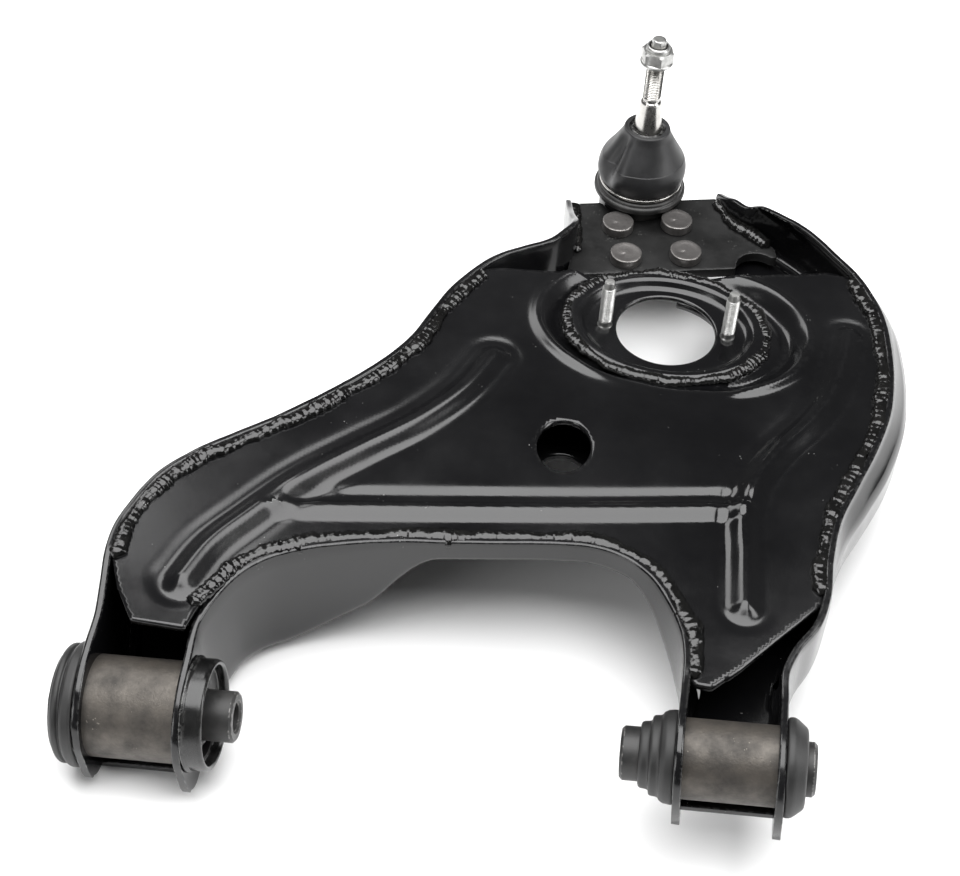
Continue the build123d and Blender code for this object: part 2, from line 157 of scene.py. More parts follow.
def addPiece(name, verts, faces, material, slot, body="arm", stands=(), sharp=38.0, outward=True):
    # a mesh in metres from millimetre arrays, its doubles merged and faces turned outwards, riding on its
    # body
    mesh = bpy.data.meshes.new(name)
    mesh.from_pydata((np.asarray(verts).reshape(-1, 3) * toMetres).tolist(), [], [list(f) for f in faces])
    mesh.update()
    if outward:
        work = bmesh.new()
        work.from_mesh(mesh)
        bmesh.ops.remove_doubles(work, verts=work.verts, dist=mergeWithin)
        bmesh.ops.recalc_face_normals(work, faces=work.faces)
        work.to_mesh(mesh)
        work.free()
    mesh.polygons.foreach_set("use_smooth", np.ones(len(mesh.polygons), bool))
    mesh.set_sharp_from_angle(angle=math.radians(sharp))
    mesh.materials.append(material)
    piece = bpy.data.objects.new(name, mesh)
    bpy.context.scene.collection.objects.link(piece)
    if stands:
        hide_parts(*stands)
    if body:
        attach(piece, body)
    return piece


def ringSkin(rings):
    # a lathed skin whose first and last rows are at the axis or meet each other
    rows, cols = rings.shape[:2]
    return rings.reshape(-1, 3), gridFaces(rows, cols).tolist()


# finishes

def effectGroup(name, inputs, outputs):
    # an empty node group with named number inputs and named outputs
    tree = bpy.data.node_groups.new(name, "ShaderNodeTree")
    for label, value in inputs:
        socket = tree.interface.new_socket(label, in_out="INPUT", socket_type="NodeSocketFloat")
        socket.default_value = value
    for label in outputs:
        tree.interface.new_socket(label, in_out="OUTPUT", socket_type="NodeSocketFloat")
    return tree, tree.nodes.new("NodeGroupInput"), tree.nodes.new("NodeGroupOutput")


def math2(tree, operation, a, b, clamp=False):
    # one maths node on two numbers or sockets
    node = tree.nodes.new("ShaderNodeMath")
    node.operation = operation
    node.use_clamp = clamp
    for socket, value in zip(node.inputs, (a, b)):
        if isinstance(value, (int, float)):
            socket.default_value = value
        else:
            tree.links.new(value, socket)
    return node.outputs[0]


def noiseAt(tree, scale, detail=4.0, rough=0.55):
    # smooth noise over the piece's own coordinates, its scale a number or a socket
    place = tree.nodes.new("ShaderNodeTexCoord").outputs["Object"]
    node = tree.nodes.new("ShaderNodeTexNoise")
    node.inputs["Detail"].default_value = detail
    node.inputs["Roughness"].default_value = rough
    tree.links.new(place, node.inputs["Vector"])
    if isinstance(scale, (int, float)):
        node.inputs["Scale"].default_value = scale
    else:
        tree.links.new(scale, node.inputs["Scale"])
    return node.outputs[0]


def buildDust():
    # small bright specks: cells of a fine pattern whose centre is near, kept only where a coarser noise is
    # high
    tree, entry, leave = effectGroup("dustSpecks", [("Scale", 420.0), ("Amount", 0.5)], ["Mask"])
    cells = tree.nodes.new("ShaderNodeTexVoronoi")
    tree.links.new(tree.nodes.new("ShaderNodeTexCoord").outputs["Object"], cells.inputs["Vector"])
    tree.links.new(entry.outputs["Scale"], cells.inputs["Scale"])
    near = math2(tree, "LESS_THAN", cells.outputs["Distance"], 0.17)
    least = math2(tree, "SUBTRACT", 0.86, math2(tree, "MULTIPLY", entry.outputs["Amount"], 0.4))
    patchy = math2(tree, "GREATER_THAN", noiseAt(tree, 60.0), least)
    tree.links.new(math2(tree, "MULTIPLY", near, patchy), leave.inputs["Mask"])
    return tree


def buildGrain():
    # a value that wanders: fine noise plus cloudier noise, each with its own share
    tree, entry, leave = effectGroup("surfaceGrain", [("Fine", 900.0), ("Cloud", 14.0)], ["Fine", "Cloud"])
    tree.links.new(noiseAt(tree, entry.outputs["Fine"], 3.0), leave.inputs["Fine"])
    tree.links.new(noiseAt(tree, entry.outputs["Cloud"], 6.0, 0.62), leave.inputs["Cloud"])
    return tree


def buildEdgeWear():
    # how far the rounded-off normal leaves the true one: near 1 on sharp edges, 0 on open surface, broken up
    # by noise
    tree, entry, leave = effectGroup("edgeWear", [("Gain", 9.0), ("Breakup", 260.0)], ["Mask"])
    bevel = tree.nodes.new("ShaderNodeBevel")
    bevel.samples = 4
    bevel.inputs["Radius"].default_value = 0.0012
    dot = tree.nodes.new("ShaderNodeVectorMath")
    dot.operation = "DOT_PRODUCT"
    tree.links.new(bevel.outputs[0], dot.inputs[0])
    tree.links.new(tree.nodes.new("ShaderNodeNewGeometry").outputs["Normal"], dot.inputs[1])
    away = math2(tree, "SUBTRACT", 1.0, dot.outputs["Value"])
    strong = math2(tree, "MULTIPLY", away, entry.outputs["Gain"], True)
    broken = math2(tree, "GREATER_THAN", noiseAt(tree, entry.outputs["Breakup"]), 0.5)
    tree.links.new(math2(tree, "MULTIPLY", strong, broken), leave.inputs["Mask"])
    return tree


groups = {"dust": buildDust(), "grain": buildGrain(), "wear": buildEdgeWear()}

# each finish: base colour, second colour its clouds lean to, metallic, roughness low and high, bump in
# metres,
# fine and cloud scale, wear and its colour, dust and its colour
finishes = {
    "armPaint": dict(
        base=(0.0030, 0.0030, 0.0034), cloud=(0.0055, 0.0055, 0.006), rough=(0.10, 0.24), bump=0.00005,
        fine=240, clouds=8, wear=0.9, wornTo=(0.22, 0.22, 0.215), dust=0.5, dustTo=(0.16, 0.16, 0.155),
    ),
    "platePaint": dict(
        base=(0.003, 0.003, 0.003), cloud=(0.009, 0.009, 0.009), rough=(0.34, 0.55), bump=0.00008,
        fine=420, clouds=18, wear=0.4, wornTo=(0.12, 0.12, 0.12), dust=0.7, dustTo=(0.10, 0.10, 0.095),
    ),
    "weldPaint": dict(
        base=(0.0022, 0.0022, 0.0022), cloud=(0.006, 0.0058, 0.0055), rough=(0.06, 0.22), bump=0.00030,
        fine=300, clouds=70, wear=0.2, wornTo=(0.25, 0.25, 0.25), dust=0.5, dustTo=(0.35, 0.35, 0.34),
    ),
    "zinc": dict(
        base=(0.50, 0.50, 0.49), cloud=(0.34, 0.34, 0.33), metal=1.0, rough=(0.32, 0.50), bump=0.00005,
        fine=900, clouds=120, wear=0.3, wornTo=(0.85, 0.85, 0.84), dust=0.2, dustTo=(0.2, 0.2, 0.2),
    ),
    "rivetSteel": dict(
        base=(0.21, 0.20, 0.195), cloud=(0.10, 0.095, 0.092), metal=0.8, rough=(0.30, 0.48), bump=0.00008,
        fine=700, clouds=110, wear=0.9, wornTo=(0.50, 0.48, 0.46), dust=0.4, dustTo=(0.3, 0.29, 0.28),
    ),
    "housingPaint": dict(
        base=(0.012, 0.012, 0.012), cloud=(0.035, 0.034, 0.033), metal=0.3, rough=(0.30, 0.48), bump=0.00005,
        fine=600, clouds=40, wear=0.5, wornTo=(0.3, 0.3, 0.3), dust=0.3, dustTo=(0.15, 0.15, 0.15),
    ),
    "brightSteel": dict(
        base=(0.52, 0.51, 0.49), cloud=(0.40, 0.39, 0.37), metal=1.0, rough=(0.20, 0.32), bump=0.00002,
        fine=1500, clouds=60, wear=0.2, wornTo=(0.9, 0.9, 0.9), dust=0.1, dustTo=(0.3, 0.3, 0.3),
    ),
    "bootRubber": dict(
        base=(0.010, 0.010, 0.0105), cloud=(0.018, 0.018, 0.019), rough=(0.38, 0.54), bump=0.00007,
        fine=1100, clouds=32, wear=0.15, wornTo=(0.07, 0.07, 0.07), dust=0.35, dustTo=(0.10, 0.10, 0.10),
    ),
    "sleeveSteel": dict(
        base=(0.090, 0.080, 0.069), cloud=(0.034, 0.031, 0.028), metal=0.5, rough=(0.40, 0.62), bump=0.00030,
        fine=620, clouds=52, wear=0.5, wornTo=(0.30, 0.27, 0.24), dust=0.6, dustTo=(0.26, 0.24, 0.21),
    ),
    "coreSteel": dict(
        base=(0.024, 0.024, 0.024), cloud=(0.045, 0.044, 0.043), metal=0.4, rough=(0.40, 0.58), bump=0.00007,
        fine=800, clouds=60, wear=0.9, wornTo=(0.34, 0.33, 0.32), dust=0.4, dustTo=(0.2, 0.2, 0.2),
    ),
    "bushRubber": dict(
        base=(0.007, 0.007, 0.007), cloud=(0.015, 0.015, 0.015), rough=(0.44, 0.62), bump=0.00010,
        fine=900, clouds=28, wear=0.25, wornTo=(0.08, 0.08, 0.08), dust=0.4, dustTo=(0.12, 0.12, 0.12),
    ),
    "collarPaint": dict(
        base=(0.004, 0.004, 0.004), cloud=(0.010, 0.010, 0.010), rough=(0.16, 0.30), bump=0.00005,
        fine=600, clouds=30, wear=0.8, wornTo=(0.30, 0.30, 0.29), dust=0.4, dustTo=(0.15, 0.15, 0.15),
    ),
    "linerPlastic": dict(
        base=(0.62, 0.60, 0.54), cloud=(0.50, 0.48, 0.43), rough=(0.42, 0.55), bump=0.00003,
        fine=700, clouds=50, wear=0.1, wornTo=(0.8, 0.8, 0.75), dust=0.1, dustTo=(0.3, 0.3, 0.3),
    ),
}


def makeFinish(name):
    # base leans to its cloud colour by the clouds, then to the worn colour at edges and the dust colour at
    # specks
    f = finishes[name]
    material = bpy.data.materials.new(name)
    material.use_nodes = True
    tree = material.node_tree
    shader = tree.nodes["Principled BSDF"]
    shader.inputs["Metallic"].default_value = f.get("metal", 0.0)
    grain = tree.nodes.new("ShaderNodeGroup")
    grain.node_tree = groups["grain"]
    grain.inputs["Fine"].default_value = f["fine"]
    grain.inputs["Cloud"].default_value = f["clouds"]
    dust = tree.nodes.new("ShaderNodeGroup")
    dust.node_tree = groups["dust"]
    dust.inputs["Amount"].default_value = f["dust"]
    wear = tree.nodes.new("ShaderNodeGroup")
    wear.node_tree = groups["wear"]
    spread = tree.nodes.new("ShaderNodeMapRange")
    tree.links.new(grain.outputs["Cloud"], spread.inputs["Value"])
    spread.inputs["From Min"].default_value = 0.35
    spread.inputs["From Max"].default_value = 0.68

    def mixed(mask, first, second, share=1.0):
        mix = tree.nodes.new("ShaderNodeMix")
        mix.data_type = "RGBA"
        tree.links.new(mask if share == 1.0 else math2(tree, "MULTIPLY", mask, share), mix.inputs["Factor"])
        for socket, value in ((mix.inputs[6], first), (mix.inputs[7], second)):
            if isinstance(value, tuple):
                socket.default_value = (*value, 1.0)
            else:
                tree.links.new(value, socket)
        return mix.outputs[2]

    colour = mixed(spread.outputs[0], f["base"], f["cloud"])
    colour = mixed(wear.outputs["Mask"], colour, f["wornTo"], f["wear"])
    colour = mixed(dust.outputs["Mask"], colour, f["dustTo"], 0.8)
    tree.links.new(colour, shader.inputs["Base Color"])
    low, high = f["rough"]
    rough = math2(tree, "MULTIPLY_ADD", spread.outputs[0], high - low)
    rough.node.inputs[2].default_value = low
    rough = math2(tree, "ADD", rough, math2(tree, "MULTIPLY", dust.outputs["Mask"], 0.3), True)
    tree.links.new(rough, shader.inputs["Roughness"])
    bump = tree.nodes.new("ShaderNodeBump")
    bump.inputs["Distance"].default_value = 1.0
    bump.inputs["Strength"].default_value = 0.6
    height = math2(tree, "ADD", math2(tree, "MULTIPLY", grain.outputs["Fine"], f["bump"]),
                   math2(tree, "MULTIPLY", grain.outputs["Cloud"], f["bump"] * 2.0))
    tree.links.new(height, bump.inputs["Height"])
    tree.links.new(bump.outputs[0], shader.inputs["Normal"])
    return material


finish = {name: makeFinish(name) for name in finishes}
print("finishes built:", len(finish))

# lower shell: three walls and a floor

rise = math.radians(5.5)      # the pivot line climbs this much towards the small bushing
pivotAxis = np.array([math.cos(rise), 0.0, math.sin(rise)])
pivotUp = np.array([-math.sin(rise), 0.0, math.cos(rise)])
acrossPivot = np.array([0.0, 1.0, 0.0])
pivotSpacing = 365.0
smallCentre = pivotSpacing * pivotAxis
noseCentre = np.array([275.8, 495.1])
noseTurn = math.radians(15.0)
noseAcross = np.array([math.cos(noseTurn), math.sin(noseTurn)])
noseAhead = np.array([-math.sin(noseTurn), math.cos(noseTurn)])


def bySmall(x, y, *rest):
    # x counted from the small bushing's centre
    return (smallCentre[0] + x, y, *rest)


def byNose(across, ahead, *rest):
    # nose centre + across times its cross direction + ahead times its forward direction
    return (*(noseCentre + across * noseAcross + ahead * noseAhead), *rest)


shellSizes = {
    "sheet": 5.0, "rim": 54.0, "floor": -1.0, "deep": -42.5, "beamRise": 35.0,
    "cornerOut": 11.0, "cornerIn": 6.0, "floorLap": 10.0, "rimRound": 1.6, "rimWave": 0.35,
    "step": 2.6, "swell": 12.0, "swellTop": 50.0, "swellFade": 15.0,
}


def floorHeight(x, y):
    # underside of the floor: the body's level, falling along a slant into the left leg and rising to the
    # crossbar
    deep = smoothStep((202 - 0.75 * x - 0.66 * y) / 90)
    beam = smoothStep((184 - y) / 44) * smoothStep((x - 118) / 50) * smoothStep((332 - x) / 44)
    return (shellSizes["floor"] - (shellSizes["floor"] - shellSizes["deep"]) * deep
            + shellSizes["beamRise"] * beam)


# stations of a wall's inner face: x, y, top, lift of the bottom above the floor, curl into the floor 0 to 1,
# lean with the pivot line 0 to 1, swell 0 to 1
earIn = 28.6
smallEarIn = 27.9
# ears from the tip back: y, top, lift, curl
largeEar = [(-37, 2, 37, 0), (-34.5, 12, 15, 0), (-29, 21, 6, 0), (-20, 29, 0.5, 0), (-6, 36, 0, 0)]
smallEar = [
    (-34, 36, 30, 0), (-32.5, 42.5, 15, 0), (-28, 51, 5, 0), (-20, 59.5, 0.5, 0), (-10, 64.2, 0, 0),
    (4, 65, 0, 0),
    (20, 60, 0, 0.1), (38, 54.5, 0, 0.4),
]


def earStations(x, ear):
    # an ear stands at one x and leans fully with the pivot line
    return [(x, *station, 1, 0) for station in ear]


def fullHeight(places, swell=0):
    # stations at the full rim height, curled into the floor and upright
    return [(*place, shellSizes["rim"], 0, 1, 0, swell) for place in places]


leftWall = [
    *earStations(-earIn, largeEar), (-earIn, 14, 40, 0, 0.2, 1, 0), (-earIn, 40, 43, 0, 0.8, 1, 0),
    (-30.5, 58, 49, 0, 1, 0.8, 0), (-35, 80, 54, 0, 1, 0.35, 0),
    *fullHeight([
        (-37, 98), (-32, 121), (-21, 150), (-4, 172), (16, 191), (45, 217), (80, 254), (103, 283),
        (119.5, 312),
        (130, 342), (139.5, 369), (152, 392), (168, 413), (184, 425), (205, 440),
    ]),
    (214, 455, 53, 0, 1, 0, 0), byNose(-60, -5, 47, 0, 0.6, 0, 0), byNose(-59, 14, 38, 0, 0.2, 0, 0),
    byNose(-57, 32, 29, 0, 0, 0, 0), byNose(-55, 50.5, 22, 0, 0, 0, 0),
]
rightWall = [
    byNose(62, 50.5, 23, 0, 0, 0, 0), byNose(64, 42, 27, 0, 0, 0, 0), byNose(67, 30, 33, 0, 0.1, 0, 0.1),
    byNose(74, 14, 36, 0, 0.5, 0, 0.3), byNose(84, 2, 45, 0, 0.9, 0, 0.7),
    bySmall(14, 501, 52, 0, 1, 0, 0.95),
    *fullHeight([
        bySmall(32, 484), bySmall(48, 465), bySmall(61, 449), bySmall(74, 426), bySmall(83, 402),
        bySmall(88, 372), bySmall(90, 342), bySmall(88, 304), bySmall(79, 266),
    ], swell=1),
    bySmall(67, 230, 54, 0, 1, 0, 0.85), bySmall(56, 196, 54, 0, 1, 0, 0.6),
    bySmall(51, 158, 54, 0, 1, 0, 0.3),
    bySmall(50, 128, 54, 0, 1, 0, 0.1), bySmall(45, 104, 54, 0, 1, 0.1, 0), bySmall(33, 80, 54, 0, 1, 0.6, 0),
    bySmall(smallEarIn, 62, 54, 0, 0.8, 1, 0), *earStations(smallCentre[0] + smallEarIn, smallEar[::-1]),
]
archWall = [
    *earStations(smallCentre[0] - smallEarIn, smallEar), bySmall(-28.5, 56, 54, 0, 0.8, 0.7, 0),
    *fullHeight([
        bySmall(-33, 80), bySmall(-45, 107), bySmall(-57, 124), bySmall(-74, 137), (268, 143.5), (240, 142),
        (204, 136), (172, 130), (140, 125), (109, 117), (80, 107),
    ]),
    (57, 94, 53, 0, 1, 0, 0), (43, 79, 51, 0, 1, 0.2, 0), (34, 60, 47, 0, 0.9, 0.7, 0),
    (earIn, 42, 43.5, 0, 0.6, 1, 0), (earIn, 14, 40, 0, 0.1, 1, 0), *earStations(earIn, largeEar[::-1]),
]


def sweepWall(stations):
    # point = inner face + outward offset; height = floor under it + lift + section height, blended to the
    # rim's height
    z = shellSizes
    s = smoothLine(stations, z["step"])
    n = len(s)
    along = np.gradient(s[:, :2], axis=0)
    along /= np.linalg.norm(along, axis=1)[:, None]
    out = np.stack([-along[:, 1], along[:, 0]], -1)
    lift = np.maximum(s[:, 3], 0)
    curl, lean, swell = np.clip(s[:, 4:7], 0, 1).T
    top = s[:, 2] + z["rimWave"] * lumps(np.arange(n) * z["step"], 5, 4, 17.0) * (curl > 0.5)
    leanCentre = np.where(s[:, 0] > 180, smallCentre[2], 0.0)
    bottom = floorHeight(s[:, 0], s[:, 1]) + lift
    room = np.clip((top - bottom) / 45.0, 0.12, 1.0)
    q = z["rimRound"]
    columns = []

    def put(offset, height):
        x = s[:, 0] + out[:, 0] * offset
        y = s[:, 1] + out[:, 1] * offset
        bulge = z["swell"] * swell * smoothStep((z["swellTop"] - height) / z["swellFade"])
        x = x + out[:, 0] * bulge - lean * (height - leanCentre) * math.tan(rise)
        y = y + out[:, 1] * bulge
        columns.append(np.stack([x, y, height], -1))

    def floorUnder(offset):
        reach = offset + z["swell"] * swell
        under = floorHeight(s[:, 0] + out[:, 0] * reach, s[:, 1] + out[:, 1] * reach) + lift
        return curl * under + (1 - curl) * bottom

    innerCorner = z["sheet"] * curl + z["cornerIn"] * curl * room
    low = bottom + innerCorner
    shares = [1, 0.86, 0.72, 0.6, 0.5, 0.4, 0.3, 0.2, 0.1, 0.0]
    for share in shares:
        put(0.0, low + (top - q - low) * share)
    t = np.linspace(0, np.pi / 2, 6)
    for a in t[1:]:
        offset = -z["cornerIn"] * (1 - math.cos(a)) * curl
        put(offset, floorUnder(offset) + z["sheet"] * curl + z["cornerIn"] * curl * room * (1 - math.sin(a)))
    lap = -z["floorLap"] * curl
    for thick in (z["sheet"], 0.0):
        put(lap, floorUnder(lap) + thick * curl)
    for a in t[::-1]:
        offset = z["sheet"] - z["cornerOut"] * curl * (1 - math.cos(a))
        put(offset, floorUnder(offset) + z["cornerOut"] * curl * room * (1 - math.sin(a)))
    outerLow = floorUnder(z["sheet"]) + z["cornerOut"] * curl * room
    for share in shares[::-1][1:]:
        put(z["sheet"], outerLow + (top - q - outerLow) * share)
    for a in np.linspace(0, np.pi / 2, 4)[1:]:
        put(z["sheet"] - q * (1 - math.cos(a)), top - q + q * math.sin(a))
    for a in np.linspace(0, np.pi / 2, 4):
        put(q * (1 - math.sin(a)), top - q + q * math.cos(a))
    innerLine = np.stack([s[:, 0] + out[:, 0] * z["swell"] * swell,
                          s[:, 1] + out[:, 1] * z["swell"] * swell], -1)
    return np.stack(columns, 1), s, innerLine


walls = {}
for wallName, stations in (("shellWallLeft", leftWall), ("shellWallRight", rightWall),
                           ("shellWallArch", archWall)):
    walls[wallName] = sweepWall(stations)
    addPiece(wallName, *closedSweep(walls[wallName][0]), finish["armPaint"], "arm_paint",
             stands=("lower_shell",) if wallName == "shellWallLeft" else ())
print("shell walls made")


def edgeDistance(x, y, loop):
    # signed distance to a closed outline, negative inside: the nearest of its sides, and the parity of
    # crossings
    best = np.full(x.shape, np.inf)
    inside = np.zeros(x.shape, bool)
    for (ax, ay), (bx, by) in zip(loop, np.roll(loop, -1, axis=0)):
        dx, dy = bx - ax, by - ay
        u = np.clip(((x - ax) * dx + (y - ay) * dy) / max(dx * dx + dy * dy, 1e-9), 0, 1)
        px, py = ax + u * dx, ay + u * dy
        best = np.minimum(best, np.hypot(x - px, y - py))
        if ay != by:
            crosses = ((ay > y) != (by > y)) & (x < (bx - ax) * (y - ay) / (by - ay) + ax)
            inside ^= crosses
    return np.where(inside, -best, best)


edgeRounds = 3        # times the edge vertices are pulled onto the outline
probe = 0.1           # in millimetres, for the outline's slope
pullWithin = 0.74     # in cells
edgeSlack = 0.15      # in cells


def trimmedSheet(low, high, cell, distance, height):
    # a grid kept where distance(x, y) is negative, its edge vertices pulled onto the edge along the gradient
    x, y = np.meshgrid(np.arange(low[0], high[0], cell), np.arange(low[1], high[1], cell), indexing="ij")
    for _ in range(edgeRounds):
        d = distance(x, y)
        gx = (distance(x + probe, y) - d) / probe
        gy = (distance(x, y + probe) - d) / probe
        size = np.maximum(np.hypot(gx, gy), 1e-3)
        pull = np.abs(d / size) < pullWithin * cell
        x = np.where(pull, x - d * gx / size**2, x)
        y = np.where(pull, y - d * gy / size**2, y)
    d = distance(x, y)
    inside = d < edgeSlack * cell
    faces = gridFaces(*x.shape, ringed=False)[:, ::-1]
    keep = inside.reshape(-1)[faces].all(axis=1)
    middle = d.reshape(-1)[faces].mean(axis=1)
    faces = faces[keep & (middle < -0.02)]
    used, renumbered = np.unique(faces, return_inverse=True)
    verts = np.stack([x.reshape(-1), y.reshape(-1)], -1)[used]
    z = height(verts[:, 0], verts[:, 1])
    return np.column_stack([verts, z]), renumbered.reshape(-1, 4)


def thicken(piece, amount, bevel=0.0):
    # a sheet's thickness, below its modelled face, and a small bevel round its cut edge
    solid = piece.modifiers.new("thickness", "SOLIDIFY")
    solid.thickness = amount * toMetres
    solid.offset = -1.0
    if bevel:
        edge = piece.modifiers.new("edge", "BEVEL")
        edge.width = bevel * toMetres
        edge.segments = 2
        edge.limit_method = "ANGLE"
        edge.angle_limit = math.radians(50)


def leaned(s, height):
    # a wall's inner face in plan at a height, with the lean of its ear
    centre = np.where(s[:, 0] > 180, smallCentre[2], 0.0)
    return np.stack([s[:, 0] - np.clip(s[:, 5], 0, 1) * (height - centre) * math.tan(rise), s[:, 1]], -1)


def between(line, low, high, every=3):
    # the part of a line whose y lies between two values, every third point of it and the last
    kept = line[(line[:, 1] >= low) & (line[:, 1] <= high)]
    return np.concatenate([kept[:-1:every], kept[-1:]])


leftLine, rightLine, archLine = (walls[name][1] for name in walls)

# shell floor
floorSizes = {
    "cell": 3.2, "inset": 9.6, "insetFrom": 44, "insetOver": 40, "lean": 4.2, "noseEdge": 452.0,
    "seatHole": (294.5, 397.0, 48.0), "drainHole": (235.0, 250.0, 17.0),
}
strapSizes = {"thick": 5, "round": 2.2, "overlap": 1.0}


def makeFloor():
    # a sheet inside the walls' inner line, less the inset where the walls curl in, and less the two round
    # holes
    f = floorSizes
    left = walls["shellWallLeft"][2]
    right = walls["shellWallRight"][2]
    arch = archLine[:, :2]
    left = between(left[left[:, 0] < 200], 20, f["noseEdge"])
    right = between(right[right[:, 0] > 300], 30, f["noseEdge"] + 86)
    arch = arch[(arch[:, 1] > np.where(arch[:, 0] > 200, 30, 36))][::3]
    nose = [byNose(-50, -44), byNose(48, -44), byNose(49, 28)]
    loop = np.concatenate([left, nose, right, arch])
    loop[:, 0] += np.where((loop[:, 1] < 90) & (loop[:, 0] > 250), f["lean"], 0)

    def distance(x, y):
        d = edgeDistance(x, y, loop) + f["inset"] * smoothStep((y - f["insetFrom"]) / f["insetOver"])
        for cx, cy, r in (f["seatHole"], f["drainHole"]):
            d = np.maximum(d, r - np.hypot(x - cx, y - cy))
        return d

    verts, faces = trimmedSheet((-60, 20), (475, 548), f["cell"], distance,
                                lambda x, y: floorHeight(x, y) + shellSizes["sheet"])
    piece = addPiece("shellFloor", verts, faces, finish["armPaint"], "arm_paint", outward=False)
    thicken(piece, shellSizes["sheet"])


def makeStrap(name, middle, half, front, back, low):
    # the floor strip that ties two ears under the sleeve: a flat bar with rounded edges, square to the pivot
    # line
    high = low + strapSizes["thick"]
    section = roundCorners([
        (front, low + 2.5), (front, low), (back, low), (back, high), (front, high), (front, low + 2.4),
    ], strapSizes["round"])[:-1]
    flat = section[:, :1] * acrossPivot + section[:, 1:] * pivotUp
    reach = half + strapSizes["overlap"]
    rings = np.array([middle + e * pivotAxis + flat for e in np.linspace(-reach, reach, 5)])
    addPiece(name, *closedSweep(rings), finish["armPaint"], "arm_paint")


makeFloor()
makeStrap("strapLarge", np.zeros(3), earIn, -16, 45, -42.6)
makeStrap("strapSmall", smallCentre, smallEarIn, -13, 48, -35.8)
print("shell floor made")

# top plate
plateSizes = {
    "top": 50.0, "sheet": 4.0, "cell": 2.3, "tuck": 0.8, "wave": 0.12,
    "ribHeight": 6.0, "leftRibWidth": 13.0, "rightRibWidth": 11.96,
    "grooveDepth": 1.3, "grooveAt": 1.25, "grooveWidth": 0.35,      # groove beside a rib, in rib widths
    "crestHeight": 3.0, "crestBack": 4.96, "crestFront": 13.6,
    "stepDepth": 1.6, "stepAt": 10, "stepWidth": 6.0,               # step behind the crest
    "dish": (300.0, 367.0, 97.0, 70.0), "dishDepth": 5.0, "dishFade": 0.2,
    "moatDepth": 5.0, "moatAt": 0.86, "moatWidth": 0.07,            # in dish radii
    "lipHeight": 3.2, "lipAt": 1.02, "lipWidth": 0.055,
    "opening": (294.5, 368.5, 64.0, 50.5), "drain": (235.0, 230.0, 18.5, 24.5),
}
leftRib = [(12, 66), (22, 96), (42, 128), (68, 165), (101, 200), (136, 236), (162, 274), (176, 308)]
rightRib = [(364, 110), (362, 150), (360, 192), (366, 222), (381, 254), (400, 284), (413, 312), (421, 348),
            (425, 380)]
crest = [(62, 141), (130, 153), (200, 166), (280, 181), (352, 196)]


def lineDistance(x, y, line):
    # distance to the nearest side of an open line, and which side of the line that is: 1 left, -1 right
    best = np.full(x.shape, np.inf)
    side = np.zeros(x.shape)
    for (ax, ay), (bx, by) in zip(line[:-1], line[1:]):
        dx, dy = bx - ax, by - ay
        u = np.clip(((x - ax) * dx + (y - ay) * dy) / (dx * dx + dy * dy), 0, 1)
        dist = np.hypot(x - ax - u * dx, y - ay - u * dy)
        closer = dist < best
        best = np.where(closer, dist, best)
        side = np.where(closer, np.sign(dx * (y - ay) - dy * (x - ax)), side)
    return best, side


def hump(d, middle, width):
    # exp(-((d - middle) / width)^2)
    return np.exp(-((d - middle) / width) ** 2)


def plateHeight(x, y):
    # flat, plus a rounded bar along each rib with a groove beside it, a crest with a steep back, the dish
    # and its lip
    p = plateSizes
    z = np.full(x.shape, p["top"])
    for rib, width in ((leftRib, p["leftRibWidth"]), (rightRib, p["rightRibWidth"])):
        d = lineDistance(x, y, smoothLine(np.array(rib, float), 6.0))[0]
        z += p["ribHeight"] * (1 - smoothStep(d / width))
        z -= p["grooveDepth"] * hump(d, width * p["grooveAt"], width * p["grooveWidth"])
    d, side = lineDistance(x, y, smoothLine(np.array(crest, float), 8.0))
    wide = np.where(side > 0, p["crestBack"], p["crestFront"])
    z += p["crestHeight"] * (1 - np.clip(d / wide, 0, 1) ** 2) ** 1.6
    z -= p["stepDepth"] * hump(d, p["stepAt"], p["stepWidth"]) * (side > 0)
    cx, cy, a, b = p["dish"]
    e = np.hypot((x - cx) / a, (y - cy) / b)
    # 1 at the dish's ends, 0 front and back
    across = np.abs(x - cx) / (np.abs(x - cx) + np.abs(y - cy) + 1)
    z -= p["dishDepth"] * smoothStep((1.0 - e) / p["dishFade"])
    z -= p["moatDepth"] * hump(e, p["moatAt"], p["moatWidth"]) * smoothStep((across - 0.25) / 0.3)
    z += p["lipHeight"] * hump(e, p["lipAt"], p["lipWidth"]) * smoothStep((across - 0.3) / 0.3)
    return z + p["wave"] * np.sin(x / 31 + 1.0) * np.sin(y / 37)


def makeTopPlate():
    # the heights over an outline between the walls, cut front and back, less the oval drain and seat openings
    p = plateSizes
    left = between(leaned(leftLine, p["top"])[leftLine[:, 0] < 180], 78, 402)
    right = between(leaned(rightLine, p["top"])[rightLine[:, 0] > 300], 122, 447)
    arch = leaned(archLine, p["top"])
    arch = arch[arch[:, 1] > 44][::3][::-1]
    front = [(-24, 49), (-12, 29.5), (22, 28.5)]
    notch = [bySmall(-26, 43), bySmall(-16, 42), bySmall(0, 60), bySmall(24, 91), bySmall(44, 116)]
    back = [bySmall(46, 449), (358, 434), (314, 424), (241, 411), (171, 404)]
    loop = np.concatenate([front, arch, notch, right[::-1], back, left[::-1]])

    def distance(x, y):
        d = edgeDistance(x, y, loop) - p["tuck"] * ((y > 52) & (y < 440))
        for cx, cy, a, b in (p["drain"], p["opening"]):
            d = np.maximum(d, min(a, b) * (1 - np.hypot((x - cx) / a, (y - cy) / b)))
        return d

    verts, faces = trimmedSheet((-45, 22), (470, 460), p["cell"], distance, plateHeight)
    piece = addPiece("topPlateSkin", verts, faces, finish["armPaint"], "arm_paint", stands=("top_plate",),
                     outward=False)
    thicken(piece, p["sheet"])


makeTopPlate()
print("top plate made")

